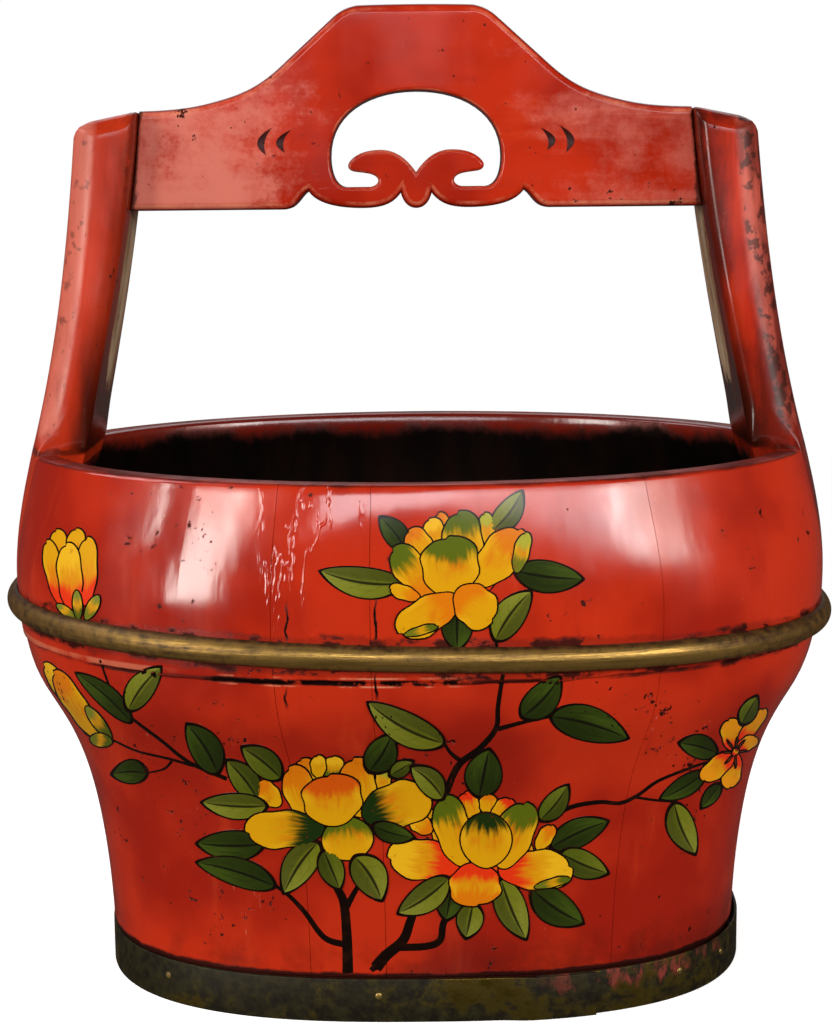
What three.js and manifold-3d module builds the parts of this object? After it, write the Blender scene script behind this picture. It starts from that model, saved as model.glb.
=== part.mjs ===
// Oval staved food bucket with two tall end staves, a carved carrying bar,
// a belly hoop and a foot band. Millimetres, +Z up, X along the length.
// The origin is the middle of the foot, on the ground.
import * as THREE from 'three';
import { mergeVertices } from 'three/addons/utils/BufferGeometryUtils.js';
import Module from 'manifold-3d';

const wasm = await Module();
wasm.setup();

// Clearances
const seamGap = 0.3;
const fitGap = 0.3;

// How far a cutting shape reaches past what it cuts
const cutMargin = 80;

// Bucket wall: half sizes of the oval at foot, belly and rim
const footHalfLength = 145.3;
const bellyHalfLength = 186;
const rimHalfLength = 178.2;
const footHalfDepth = 110.4;
const bellyHalfDepth = 141.4;
const rimHalfDepth = 135.4;
const bellyHeight = 181.6;
const rimHeight = 237;
const waistSwell = 2;
const waistPull = 149.6;
const bellyPullBelow = 73.3;
const bellyPullAbove = 20;
const rimLean = 0.25;
const rimPull = 18;
const wallThickness = 11;
const rimRounding = 2;
const footChamfer = 1.2;

// Squareness of the oval: 2 is an ellipse, more is squarer
const footSquareness = 2.62;
const bellySquareness = 2.24;
const rimSquareness = 1.97;
const squareFootHeight = 60;

// Staves
const stavesPerSide = 11;
const staveSteps = 3;
const postSteps = 6;
const ledgeHeight = 157;
const ledgeDepth = 0.9;
const ledgeRise = 0.8;
const ledgeFade = 25;

// Bamboo pegs in the edges of the staves
const stavePegWidth = 3.2;
const stavePegLength = 16;
const lowerPegHeight = 92;
const upperPegHeight = 204;

// Bottom boards, held in a groove round the staves
const boardUnderside = 16;
const boardThickness = 12;
const grooveDepth = 4;
const boardCount = 4;
const boardPegWidth = 4;
const boardPegLength = 22;
const boardPegSpacing = 120;

// Belly hoop, half round, sitting a little askew
const hoopHeight = 167;
const hoopTilt = 0.024;
const hoopTall = 10.8;
const hoopThick = 5;
const hoopEdge = 1.2;

// Foot band, sprung away from the staves at its right end
const bandTall = 19.4;
const bandThick = 1.5;
const bandRebate = 1;
const bandSpring = 2.6;
const bandLapAngle = -66;
const bandLapLength = 24;
const bandLapGap = 0.25;
const bandClimbTurn = 0.14;
const bandStopTurn = 0.01;
const nailHeadRadius = 1.6;
const nailHeadTall = 0.8;
const nailShankRadius = 0.7;
const nailShankLength = 7;
const nailSides = 5;
const nailAngles = [-25, -37, -100, -143, 25, 60, 100, 143];
const nailHeight = 12;

// Posts: the end staves above the rim
const postSeamHalfDepth = 37;
const postTopHalfDepth = 25.5;
const postTopOuter = 154.2;
const postTopInner = 124.4;
const postRimInner = 150.5;
const postTopHeight = 389;
const postOuterCorner = 10;
const postInnerCorner = 6;
const postCornerRise = 22;
const postThickFade = 60;
const postCrownSlope = 0.2;
const postCrownRadius = 12.5;
const postCrownBlend = 2;
const postCrownFlare = 1;
const postCrownPeak = 5;
const postFacetDrop = 7;
const postFacetRun = 8;
const postFacetLift = 1;
const postCheekSlope = 0.4;
const postSeamRadius = 0.5;

// Sweep of the posts: lean and pull of their outer and inner curves
const neckLean = 12.6;
const outerNeckRise = 45;
const innerNeckRise = 60;
const outerHeadDrop = 61;
const innerHeadDrop = 45;
const outerHeadBow = 4.5;
const innerHeadBow = 3.6;
const outerHeadTuck = 0.8;

// Carrying bar: its drops and rises are measured from the tops of the posts
const barThick = 22;
const barUndersideDrop = 44;
const barCrownRise = 46.3;
const barShoulderRise = 22.5;
const archCrownRise = 8.5;
const archSpringDrop = 20.6;
const archSillDrop = 34.2;
const gougeDrop = 13.6;
const barUnderside = postTopHeight - barUndersideDrop;
const barCrown = postTopHeight + barCrownRise;
const barEdge = 1.8;
const barRounding = 3.4;
const barCrownHalfLength = 22;
const barCrownSag = 0.2;
const barShoulderHeight = postTopHeight + barShoulderRise;
const barShoulderReach = 57;
const barNotchReach = 48.7;
const barNotchDepth = 8.1;
const barNotchRun = 11;
const barNotchSweep = 22;
const barNotchInnerPull = 33;
const barNotchCuspPull = 38;
const barCuspReach = 7;
const barEndMargin = 12;
const tenonLength = 13;
const tenonTall = 26;
const tenonThick = 10;
const tenonRoot = 6;
const arch = {
  halfWidth: 38.7,
  crown: postTopHeight + archCrownRise,
  spring: postTopHeight - archSpringDrop,
  sill: postTopHeight - archSillDrop,
  jambFoot: 7.7,
};

// Leaf curls on the sill: heights above the sill, and gaps from tip and tongue to the jamb
const leaf = { cusp: 6.5, top: 16.5, topReach: 16, tip: 11, tipGap: 8.6, tongue: 6.8, tongueGap: 11.4 };
const leafRoot = { reach: 17.4, rise: 3.8, foot: 22 };
const innerGougeReach = 60;
const outerGougeReach = 68.5;
const gougeTall = 12.5;
const gougeWide = 5.6;
const gougeDeep = 2;
const gougeHeight = postTopHeight - gougeDrop;

// Finishes
const finish = (color, roughness, metalness) =>
  new THREE.MeshStandardMaterial({ color, roughness, metalness });
const redLacquer = () => finish(0xa8281a, 0.3, 0);
const agedBronze = () => finish(0x6b5526, 0.45, 0.8);
const greenedBronze = () => finish(0x4a4420, 0.6, 0.7);
const brassNail = () => finish(0x9a8038, 0.45, 0.8);
const bareFir = () => finish(0x6e4a30, 0.8, 0);
const bamboo = () => finish(0xb89a5c, 0.7, 0);

// Boolean cuts
function solidFrom(geometry) {
  const bare = geometry.clone();
  bare.deleteAttribute('normal');
  bare.deleteAttribute('uv');
  const merged = mergeVertices(bare, 1e-4);
  return new wasm.Manifold(new wasm.Mesh({
    numProp: 3,
    vertProperties: new Float32Array(merged.attributes.position.array),
    triVerts: new Uint32Array(merged.index.array),
  }));
}

function geometryFrom(solid) {
  const mesh = solid.getMesh();
  const shared = new THREE.BufferGeometry();
  shared.setAttribute('position', new THREE.BufferAttribute(mesh.vertProperties, 3));
  shared.setIndex(new THREE.BufferAttribute(mesh.triVerts, 1));
  const geometry = shared.toNonIndexed();
  geometry.computeVertexNormals();
  return geometry;
}

// Skin over a stack of outlines that all have the same number of points
function loftGeometry(sections) {
  const around = sections[0].length;
  const points = sections.flat();
  const faces = [];
  for (let level = 0; level < sections.length - 1; level += 1) {
    for (let k = 0; k < around; k += 1) {
      const next = (k + 1) % around;
      const a = level * around + k;
      const b = level * around + next;
      faces.push(a, b, b + around, a, b + around, a + around);
    }
  }
  const capOutline = sections[0].map((p) => new THREE.Vector2(p.x, p.y));
  const topOutline = sections.at(-1).map((p) => new THREE.Vector2(p.x, p.y));
  const top = (sections.length - 1) * around;
  for (const [a, b, c] of THREE.ShapeUtils.triangulateShape(capOutline, [])) {
    faces.push(a, c, b);
  }
  for (const [a, b, c] of THREE.ShapeUtils.triangulateShape(topOutline, [])) {
    faces.push(top + a, top + b, top + c);
  }
  const geometry = new THREE.BufferGeometry().setFromPoints(points);
  geometry.setIndex(faces);
  return geometry;
}

// Wall profile: a half size at any height, from two cubic curves
function wallCurves(foot, belly, rim) {
  const point = (size, z) => new THREE.Vector2(size, z);
  return [
    new THREE.CubicBezierCurve(
      point(foot, 0),
      point(foot + waistSwell, waistPull),
      point(belly, bellyHeight - bellyPullBelow),
      point(belly, bellyHeight),
    ),
    new THREE.CubicBezierCurve(
      point(belly, bellyHeight),
      point(belly, bellyHeight + bellyPullAbove),
      point(rim + rimLean * rimPull, rimHeight - rimPull),
      point(rim, rimHeight),
    ),
  ];
}

function sizeAtHeight(curves, z) {
  const curve = curves.find((c) => z <= c.v3.y) ?? curves.at(-1);
  const halvings = 40;
  let low = 0;
  let high = 1;
  for (let step = 0; step < halvings; step += 1) {
    const middle = (low + high) / 2;
    if (curve.getPoint(middle).y < z) low = middle;
    else high = middle;
  }
  return curve.getPoint(high).x;
}

const postOuterCurve = new THREE.CubicBezierCurve(
  new THREE.Vector2(rimHalfLength, rimHeight),
  new THREE.Vector2(rimHalfLength - neckLean, rimHeight + outerNeckRise),
  new THREE.Vector2(postTopOuter + outerHeadBow, postTopHeight - outerHeadDrop),
  new THREE.Vector2(postTopOuter - outerHeadTuck, postTopHeight),
);
const postInnerCurve = new THREE.CubicBezierCurve(
  new THREE.Vector2(postRimInner, rimHeight),
  new THREE.Vector2(postRimInner - neckLean, rimHeight + innerNeckRise),
  new THREE.Vector2(postTopInner + innerHeadBow, postTopHeight - innerHeadDrop),
  new THREE.Vector2(postTopInner, postTopHeight),
);
const lengthCurves = [...wallCurves(footHalfLength, bellyHalfLength, rimHalfLength), postOuterCurve];
const depthCurves = wallCurves(footHalfDepth, bellyHalfDepth, rimHalfDepth);

function squarenessAt(z) {
  const low = THREE.MathUtils.smoothstep(z, squareFootHeight, bellyHeight);
  const high = THREE.MathUtils.smoothstep(z, bellyHeight, rimHeight);
  const lower = THREE.MathUtils.lerp(footSquareness, bellySquareness, low);
  return THREE.MathUtils.lerp(lower, rimSquareness, high);
}

function ovalAt(z) {
  const length = sizeAtHeight(lengthCurves, z);
  const shrink = z > rimHeight ? length / rimHalfLength : 1;
  const depth = sizeAtHeight(depthCurves, Math.min(z, rimHeight)) * shrink;
  return { length, depth, power: squarenessAt(z) };
}

// A point of the outer wall at a plan angle, moved in along the wall's normal
function wallPoint(angle, z, inset) {
  const { length, depth, power } = ovalAt(z);
  const c = Math.cos(angle);
  const s = Math.sin(angle);
  const reach = (Math.abs(c / length) ** power + Math.abs(s / depth) ** power) ** (-1 / power);
  const x = reach * c;
  const y = reach * s;
  const normal = new THREE.Vector2(
    Math.sign(x) * Math.abs(x / length) ** (power - 1) / length,
    Math.sign(y) * Math.abs(y / depth) ** (power - 1) / depth,
  ).normalize();
  return new THREE.Vector3(x - normal.x * inset, y - normal.y * inset, z);
}

// Inset of the outer face: the band's rebate at the foot and the ledge under the hoop
function outerInset(z) {
  if (z <= bandTall + fitGap) return bandRebate;
  if (z >= ledgeHeight) return 0;
  return ledgeDepth * THREE.MathUtils.smoothstep(z, ledgeHeight - ledgeFade, ledgeHeight - ledgeRise);
}

const bandLevels = [footChamfer, bandTall + fitGap, bandTall + fitGap + ledgeRise];
const waistLevels = [0.38, 0.62, 0.79, 0.92].map((share) => share * (ledgeHeight - ledgeRise));
const bellyLevels = [ledgeHeight, 0.5 * (ledgeHeight + bellyHeight), bellyHeight];
const shoulderLevels = [0.38, 0.72].map((share) => THREE.MathUtils.lerp(bellyHeight, rimHeight, share));
const bodyLevels = [
  ...bandLevels,
  ...waistLevels,
  ledgeHeight - ledgeRise,
  ...bellyLevels,
  ...shoulderLevels,
];

// Seams: equal widths at the belly between the two end staves
const postSeamAngle = (() => {
  const { length, depth, power } = ovalAt(rimHeight);
  const x = length * (1 - (postSeamHalfDepth / depth) ** power) ** (1 / power);
  return Math.atan2(postSeamHalfDepth, x);
})();

function sideSeamAngles() {
  const samples = 400;
  const angles = [];
  const lengths = [0];
  for (let k = 0; k <= samples; k += 1) {
    angles.push(THREE.MathUtils.lerp(postSeamAngle, Math.PI - postSeamAngle, k / samples));
  }
  for (let k = 1; k <= samples; k += 1) {
    const a = wallPoint(angles[k - 1], bellyHeight, 0);
    const b = wallPoint(angles[k], bellyHeight, 0);
    lengths.push(lengths[k - 1] + a.distanceTo(b));
  }
  const seams = [];
  for (let k = 0; k <= stavesPerSide; k += 1) {
    const target = lengths[samples] * k / stavesPerSide;
    const after = Math.max(1, lengths.findIndex((length) => length >= target - 1e-9));
    const share = (target - lengths[after - 1]) / (lengths[after] - lengths[after - 1]);
    seams.push(THREE.MathUtils.lerp(angles[after - 1], angles[after], share));
  }
  return seams;
}

const backSeams = sideSeamAngles();
const frontSeams = backSeams.map((angle) => angle + Math.PI);

function columnsBetween(from, to, steps) {
  return Array.from({ length: steps + 1 }, (unused, k) => THREE.MathUtils.lerp(from, to, k / steps));
}

// Every plan angle where the wall's facets meet, for rings that follow them
const ringAngles = [
  ...columnsBetween(-postSeamAngle, postSeamAngle, postSteps).slice(0, -1),
  ...backSeams.slice(0, -1).flatMap((a, k) => columnsBetween(a, backSeams[k + 1], staveSteps).slice(0, -1)),
  ...columnsBetween(Math.PI - postSeamAngle, Math.PI + postSeamAngle, postSteps).slice(0, -1),
  ...frontSeams.slice(0, -1).flatMap((a, k) => columnsBetween(a, frontSeams[k + 1], staveSteps).slice(0, -1)),
];

// Moves the edge points of a section back from the seam by half the seam gap
function shiftFromSeam(outer, inner, side) {
  const across = new THREE.Vector3().subVectors(outer, inner).normalize();
  const along = new THREE.Vector3(-across.y, across.x, 0).multiplyScalar(-side * seamGap / 2);
  outer.add(along);
  inner.add(along);
}

function staveSection(columns, z, outerIn, innerIn) {
  const outer = columns.map((angle) => wallPoint(angle, z, outerIn));
  const inner = columns.map((angle) => wallPoint(angle, z, innerIn));
  shiftFromSeam(outer[0], inner[0], -1);
  shiftFromSeam(outer.at(-1), inner.at(-1), 1);
  return [...outer, ...inner.reverse()];
}

function staveSections(columns) {
  return [
    staveSection(columns, 0, bandRebate + footChamfer, wallThickness - footChamfer),
    ...bodyLevels.map((z) => staveSection(columns, z, outerInset(z), wallThickness)),
    staveSection(columns, rimHeight - rimRounding, 0, wallThickness),
    staveSection(columns, rimHeight, rimRounding, wallThickness - rimRounding),
  ];
}

// The bottom: an oval plate that fills the groove, grown by a clearance
function bottomPlate(grow, lift) {
  const underside = boardUnderside - lift;
  const upperside = boardUnderside + boardThickness + lift;
  const ring = (z) => ringAngles.map((angle) => {
    const edge = wallPoint(angle, boardUnderside, wallThickness - grooveDepth - grow);
    return new THREE.Vector3(edge.x, edge.y, z);
  });
  return loftGeometry([ring(underside), ring(upperside)]);
}

const grooveSolid = solidFrom(bottomPlate(fitGap, fitGap));

// Square bamboo pegs across the seams, each driven into the stave that carries it
function pegBox(width, length, seamAngle, z) {
  const outer = wallPoint(seamAngle, z, 0);
  const inner = wallPoint(seamAngle, z, wallThickness);
  const across = new THREE.Vector3().subVectors(outer, inner).normalize();
  const along = new THREE.Vector3(-across.y, across.x, 0);
  const box = new THREE.BoxGeometry(width, length, width);
  box.rotateZ(Math.atan2(along.y, along.x) - Math.PI / 2);
  const middle = new THREE.Vector3().addVectors(outer, inner).multiplyScalar(0.5);
  box.translate(middle.x, middle.y, z);
  return box;
}

function pegsAt(seamAngle, grow) {
  return [lowerPegHeight, upperPegHeight].map((z) =>
    solidFrom(pegBox(stavePegWidth + 2 * grow, stavePegLength + 2 * grow, seamAngle, z)));
}

// Nails through the foot band, with their axes square to the wall
function bandOffset(angle) {
  const facing = Math.max(0, Math.cos(angle));
  return bandRebate - fitGap - bandSpring * facing ** 6;
}

function placeOnBand(geometry, angle) {
  const outside = bandOffset(angle) - bandThick - fitGap;
  const seat = wallPoint(angle, nailHeight, outside);
  const deeper = wallPoint(angle, nailHeight, outside + 1);
  const outward = new THREE.Vector3().subVectors(seat, deeper).normalize();
  const turn = new THREE.Quaternion().setFromUnitVectors(new THREE.Vector3(0, 1, 0), outward);
  return geometry.applyQuaternion(turn).translate(seat.x, seat.y, seat.z);
}

function nailGeometry(grow) {
  const shank = nailShankRadius + grow;
  const profile = [
    [0, nailHeadTall],
    [nailHeadRadius * 0.6, nailHeadTall * 0.8],
    [nailHeadRadius, 0],
    [shank, 0],
    [shank, -nailShankLength - grow],
    [0, -nailShankLength - grow],
  ].map(([x, y]) => new THREE.Vector2(x, y)).reverse();
  return new THREE.LatheGeometry(profile, nailSides);
}

const nailRadians = nailAngles.map((degrees) => THREE.MathUtils.degToRad(degrees));
const nailHoles = nailRadians.map((angle) => solidFrom(placeOnBand(nailGeometry(fitGap), angle)));

function cutAll(solid, cutters) {
  return cutters.reduce((left, cutter) => left.subtract(cutter), solid);
}

function joinAll(solid, additions) {
  return additions.reduce((whole, addition) => whole.add(addition), solid);
}

const group = new THREE.Group();

function addMesh(name, geometry, material) {
  const mesh = new THREE.Mesh(geometry, material);
  mesh.name = name;
  group.add(mesh);
  return mesh;
}

// Ordinary staves, back side first, then the front side
const staveSeams = [...backSeams.slice(0, -1).map((a, k) => [a, backSeams[k + 1]]),
  ...frontSeams.slice(0, -1).map((a, k) => [a, frontSeams[k + 1]])];
staveSeams.forEach(([from, to], index) => {
  const blank = solidFrom(loftGeometry(staveSections(columnsBetween(from, to, staveSteps))));
  const cut = cutAll(blank, [grooveSolid, ...pegsAt(from, fitGap), ...nailHoles]);
  const name = `stave_${String(index + 1).padStart(2, '0')}`;
  addMesh(name, geometryFrom(joinAll(cut, pegsAt(to, 0))), redLacquer());
});

// End stave: a thick post above the rim that thins into the wall below it
function postHalfDepthAt(z) {
  const share = THREE.MathUtils.clamp((z - rimHeight) / (postTopHeight - rimHeight), 0, 1);
  return THREE.MathUtils.lerp(postSeamHalfDepth, postTopHalfDepth, Math.sin(share * Math.PI / 2));
}

function postInnerAt(z) {
  return sizeAtHeight([postInnerCurve], z);
}

function postCorners(z) {
  const outerEdge = wallPoint(postSeamAngle, z, outerInset(z));
  if (z > rimHeight) {
    const half = postHalfDepthAt(z);
    const { length, depth, power } = ovalAt(z);
    const limited = Math.min(half, outerEdge.y);
    const x = length * (1 - (limited / depth) ** power) ** (1 / power);
    const inner = postInnerAt(z);
    return { x, y: limited, innerX: inner, innerY: Math.min(half, inner * Math.tan(postSeamAngle)) };
  }
  const blend = THREE.MathUtils.smoothstep(z, rimHeight - postThickFade, rimHeight);
  const innerEdge = wallPoint(postSeamAngle, z, wallThickness);
  const middle = wallPoint(0, z, wallThickness);
  const thickX = Math.min(postRimInner + (middle.x - wallPoint(0, rimHeight, wallThickness).x), innerEdge.x);
  const innerX = THREE.MathUtils.lerp(innerEdge.x, thickX, blend);
  const slope = (outerEdge.y - innerEdge.y) / (outerEdge.x - innerEdge.x);
  return { x: outerEdge.x, y: outerEdge.y, innerX, innerY: innerEdge.y - slope * (innerEdge.x - innerX) };
}

function postOuterX(y, z) {
  const { length, depth, power } = ovalAt(z);
  return length * (1 - Math.abs(y / depth) ** power) ** (1 / power) - outerInset(z);
}

// Rounded outline of the post at one height, right-hand post
function postSection(z, chamfer) {
  const corner = postCorners(z);
  const rise = THREE.MathUtils.smoothstep(z, rimHeight, rimHeight + postCornerRise);
  const thick = corner.x - corner.innerX;
  const rounding = (full) => {
    const radius = THREE.MathUtils.lerp(postSeamRadius, full, rise) + chamfer;
    return { across: radius / corner.y, deep: radius / thick };
  };
  const outer = rounding(postOuterCorner);
  const inner = rounding(postInnerCorner);
  const outline = [];
  const arc = (s, { across, deep }, w, from) => {
    for (let k = 0; k <= 2; k += 1) {
      const turn = from + k * Math.PI / 4;
      outline.push([s * (1 - across) + across * Math.cos(turn), w + deep * Math.sin(turn)]);
    }
  };
  arc(1, outer, 1 - outer.deep, 0);
  for (let k = 1; k < postSteps; k += 1) {
    outline.push([(1 - 2 * k / postSteps) * (1 - outer.across), 1]);
  }
  arc(-1, outer, 1 - outer.deep, Math.PI / 2);
  arc(-1, inner, inner.deep, Math.PI);
  for (let k = 1; k < postSteps / 2; k += 1) {
    outline.push([(-1 + 4 * k / postSteps) * (1 - inner.across), 0]);
  }
  arc(1, inner, inner.deep, 3 * Math.PI / 2);
  const blend = THREE.MathUtils.smoothstep(z, rimHeight - postThickFade, rimHeight);
  const gap = z > rimHeight ? 0 : seamGap / 2;
  return outline.map(([s, w]) => {
    const outerY = s * (corner.y - gap);
    const innerY = s * (corner.innerY - gap);
    const bulge = wallPoint(0, z, wallThickness).x - wallPoint(postSeamAngle, z, wallThickness).x;
    const innerX = corner.innerX + (1 - blend) * bulge * (1 - s * s);
    const x = THREE.MathUtils.lerp(innerX, postOuterX(outerY, z), w);
    return new THREE.Vector3(x, THREE.MathUtils.lerp(innerY, outerY, w), z);
  }).reverse();
}

// Crown of the post: slopes up to the inside, rounded outside, bevelled front and back
function extruded(shape, length) {
  return new THREE.ExtrudeGeometry(shape, { depth: length, bevelEnabled: false, curveSegments: 5 });
}

function crownOutlineFromSide() {
  const outside = bellyHalfLength + cutMargin;
  const shape = new THREE.Shape();
  const roundStart = postTopOuter - postCrownRadius;
  const startHeight = postTopHeight - postCrownSlope * (roundStart - postTopInner);
  const roundFoot = startHeight - postCrownRadius - postCrownBlend;
  const peakHeight = postTopHeight + postCrownSlope * postCrownPeak;
  shape.moveTo(0, -cutMargin);
  shape.lineTo(outside, -cutMargin);
  shape.lineTo(outside, roundFoot);
  shape.lineTo(postTopOuter + postCrownFlare, roundFoot);
  shape.bezierCurveTo(
    postTopOuter + 0.2 * postCrownFlare,
    startHeight - 0.45 * postCrownRadius,
    roundStart + 0.6 * postCrownRadius,
    startHeight - 0.1 * postCrownRadius,
    roundStart,
    startHeight,
  );
  shape.lineTo(postTopInner - postCrownPeak, peakHeight);
  shape.lineTo(0, peakHeight);
  return shape;
}

function crownOutlineFromEnd() {
  const wide = postSeamHalfDepth + cutMargin;
  const facetTop = postTopHalfDepth - postFacetRun;
  const facetFoot = postTopHeight - postFacetDrop;
  const cheekFoot = facetFoot - (wide - postTopHalfDepth) * postCheekSlope;
  const shape = new THREE.Shape();
  shape.moveTo(-wide, -cutMargin);
  shape.lineTo(wide, -cutMargin);
  shape.lineTo(wide, cheekFoot);
  shape.lineTo(postTopHalfDepth, facetFoot);
  shape.lineTo(facetTop, postTopHeight);
  shape.lineTo(-facetTop, postTopHeight);
  shape.lineTo(-postTopHalfDepth, facetFoot);
  shape.lineTo(-wide, cheekFoot);
  return shape;
}

function crownSolids() {
  const half = postSeamHalfDepth + cutMargin;
  const side = extruded(crownOutlineFromSide(), 2 * half);
  side.rotateX(Math.PI / 2);
  side.translate(0, half, 0);
  const end = extruded(crownOutlineFromEnd(), bellyHalfLength + cutMargin);
  end.rotateX(Math.PI / 2);
  end.rotateZ(Math.PI / 2);
  const shear = new THREE.Matrix4().set(
    1, 0, 0, 0,
    0, 1, 0, 0,
    -postCrownSlope, 0, 1, postCrownSlope * postTopInner + postFacetLift,
    0, 0, 0, 1,
  );
  end.applyMatrix4(shear);
  return [solidFrom(side), solidFrom(end)];
}

// Tenon of the bar and the mortise that takes it
function tenonBox(grow) {
  const middle = (barUnderside + postTopHeight) / 2;
  const start = postInnerAt(postTopHeight) - fitGap - tenonRoot;
  const end = postInnerAt(middle) + tenonLength + grow;
  const box = new THREE.BoxGeometry(end - start, tenonThick + 2 * grow, tenonTall + 2 * grow);
  return box.translate((start + end) / 2, 0, middle);
}

const postRises = [0.03, 0.08, 0.17, 0.3, 0.45, 0.6, 0.74, 0.86, 0.94, 1.05];
const postLevels = postRises.map((share) => THREE.MathUtils.lerp(rimHeight, postTopHeight, share));
const postBlank = loftGeometry([
  postSection(0, footChamfer),
  ...bodyLevels.map((z) => postSection(z, 0)),
  postSection(rimHeight, 0),
  ...postLevels.map((z) => postSection(z, 0)),
]);
const [crownSide, crownEnd] = crownSolids();
const postCut = cutAll(
  solidFrom(postBlank).intersect(crownSide).intersect(crownEnd),
  [grooveSolid, solidFrom(tenonBox(fitGap)), ...pegsAt(-postSeamAngle, fitGap)],
);
const postSolid = joinAll(postCut, pegsAt(postSeamAngle, 0));
addMesh('post_right', geometryFrom(postSolid), redLacquer());
addMesh('post_left', geometryFrom(postSolid), redLacquer()).rotation.z = Math.PI;

// Carrying bar outline: one half is given, drawn on the left and then on the right
function mirroredPath(path, start, commands) {
  const draw = ([kind, ...values]) => {
    if (kind === 'line') path.lineTo(...values);
    else path.bezierCurveTo(...values);
  };
  const mirrored = (values) => values.map((value, k) => (k % 2 === 0 ? -value : value));
  path.moveTo(...start);
  commands.forEach(([kind, ...values]) => draw([kind, ...mirrored(values)]));
  for (let k = commands.length - 1; k >= 0; k -= 1) {
    const [kind, ...values] = commands[k];
    const target = k > 0 ? commands[k - 1].slice(-2) : start;
    const pulls = kind === 'line' ? [] : [values[2], values[3], values[0], values[1]];
    draw([kind, ...pulls, ...target]);
  }
}

function barEndCommands() {
  const levels = [1, 0.66, 0.33, 0].map((share) => THREE.MathUtils.lerp(barUnderside, postTopHeight, share));
  return levels.map((z) => ['line', postInnerAt(z) - fitGap, z]);
}

// The carved outline, drawn past the bar's ends, which the end plate then trims
function barShape() {
  const shape = new THREE.Shape();
  const notchTop = barUnderside + barNotchDepth;
  const shoulder = [barShoulderReach, barShoulderHeight];
  mirroredPath(shape, [0, barCrown], [
    ['curve', barCrownHalfLength / 2, barCrown, barCrownHalfLength, barCrown - barCrownSag,
      barCrownHalfLength + 4, barCrown - 2 * barCrownSag],
    ['curve', barCrownHalfLength + 8, barCrown - 1.2, barCrownHalfLength + 11, barCrown - 2.4,
      barCrownHalfLength + 14, barCrown - 5],
    ['line', ...shoulder],
    ['curve', shoulder[0] + 8, shoulder[1] - 7.5, shoulder[0] + 15, shoulder[1] - 13,
      shoulder[0] + 28, shoulder[1] - 16.8],
    ['curve', shoulder[0] + 40, shoulder[1] - 20.3, postTopInner - 20, postTopHeight + 1,
      postTopInner - 6, postTopHeight + 0.5],
    ['line', postTopInner + barEndMargin, postTopHeight],
    ['line', postTopInner + barEndMargin, barUnderside],
    ['line', barNotchReach + barNotchRun, barUnderside],
    ['curve', barNotchReach + 5, barUnderside + 0.3, barNotchReach + 3.5, notchTop - 1.5,
      barNotchReach, notchTop],
    ['curve', barNotchReach - 2.5, notchTop - 4, barNotchReach - 9, barUnderside + 0.8,
      barNotchReach - barNotchSweep, barUnderside + 0.4],
    ['curve', barNotchReach - barNotchInnerPull, barUnderside, barNotchReach - barNotchCuspPull,
      barUnderside + 2, barCuspReach, notchTop - 1.1],
    ['curve', 5.6, barUnderside + 1.6, 2.5, barUnderside + 0.2, 0, barUnderside + 0.2],
  ]);
  return shape;
}

// A plate with the bar's two ends, so tall that it trims nothing else
function endPlateShape() {
  const shape = new THREE.Shape();
  const ends = barEndCommands();
  mirroredPath(shape, [0, barCrown + cutMargin], [
    ['line', ends[0][1], barCrown + cutMargin],
    ...ends,
    ['line', ends.at(-1)[1], barUnderside - cutMargin],
    ['line', 0, barUnderside - cutMargin],
  ]);
  return shape;
}

// Arched finger opening with two leaf curls that rise from its sill
function archPath() {
  const hole = new THREE.Path();
  const jamb = arch.halfWidth;
  const haunch = arch.spring + 0.66 * (arch.crown - arch.spring);
  const footReach = jamb - arch.jambFoot;
  const tipReach = jamb - leaf.tipGap;
  const tongueReach = jamb - leaf.tongueGap;
  const above = (rise) => arch.sill + rise;
  mirroredPath(hole, [0, arch.crown], [
    ['curve', jamb * 0.55, arch.crown, jamb, haunch, jamb, arch.spring],
    ['curve', jamb, arch.spring - 6.4, jamb - 1.7, arch.sill, footReach, arch.sill],
    ['line', leafRoot.foot, arch.sill],
    ['curve', leafRoot.reach + 0.8, arch.sill, leafRoot.reach - 1, above(leafRoot.rise - 1.8),
      leafRoot.reach, above(leafRoot.rise)],
    ['curve', leafRoot.reach + 1.4, above(leaf.tongue - 0.8), tongueReach - 4.4, above(leaf.tongue - 0.6),
      tongueReach, above(leaf.tongue)],
    ['curve', tongueReach + 3.2, above(leaf.tongue + 0.4), tipReach + 1.2, above(leaf.tip - 1.7),
      tipReach, above(leaf.tip)],
    ['curve', tipReach - 2.6, above(leaf.top - 1.8), leaf.topReach + 6.5, above(leaf.top),
      leaf.topReach, above(leaf.top)],
    ['curve', leaf.topReach - 6.5, above(leaf.top), 4.5, above(leaf.top - 3.5), 0, above(leaf.cusp)],
  ]);
  return hole;
}

// Gouged crescents beside the opening, bowed away from the middle
function gougeSolid(reach, side, face) {
  const shape = new THREE.Shape();
  shape.moveTo(0, -gougeTall / 2);
  shape.quadraticCurveTo(gougeWide * 1.6, 0, 0, gougeTall / 2);
  shape.quadraticCurveTo(gougeWide * 0.2, 0, 0, -gougeTall / 2);
  const options = { depth: 2 * gougeDeep, bevelEnabled: false, curveSegments: 4 };
  const cutter = new THREE.ExtrudeGeometry(shape, options);
  cutter.translate(0, 0, -gougeDeep);
  cutter.rotateX(Math.PI / 2);
  if (side < 0) cutter.rotateZ(Math.PI);
  cutter.translate(side * (reach - gougeWide / 2), face * barThick / 2, gougeHeight);
  return solidFrom(cutter);
}

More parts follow.
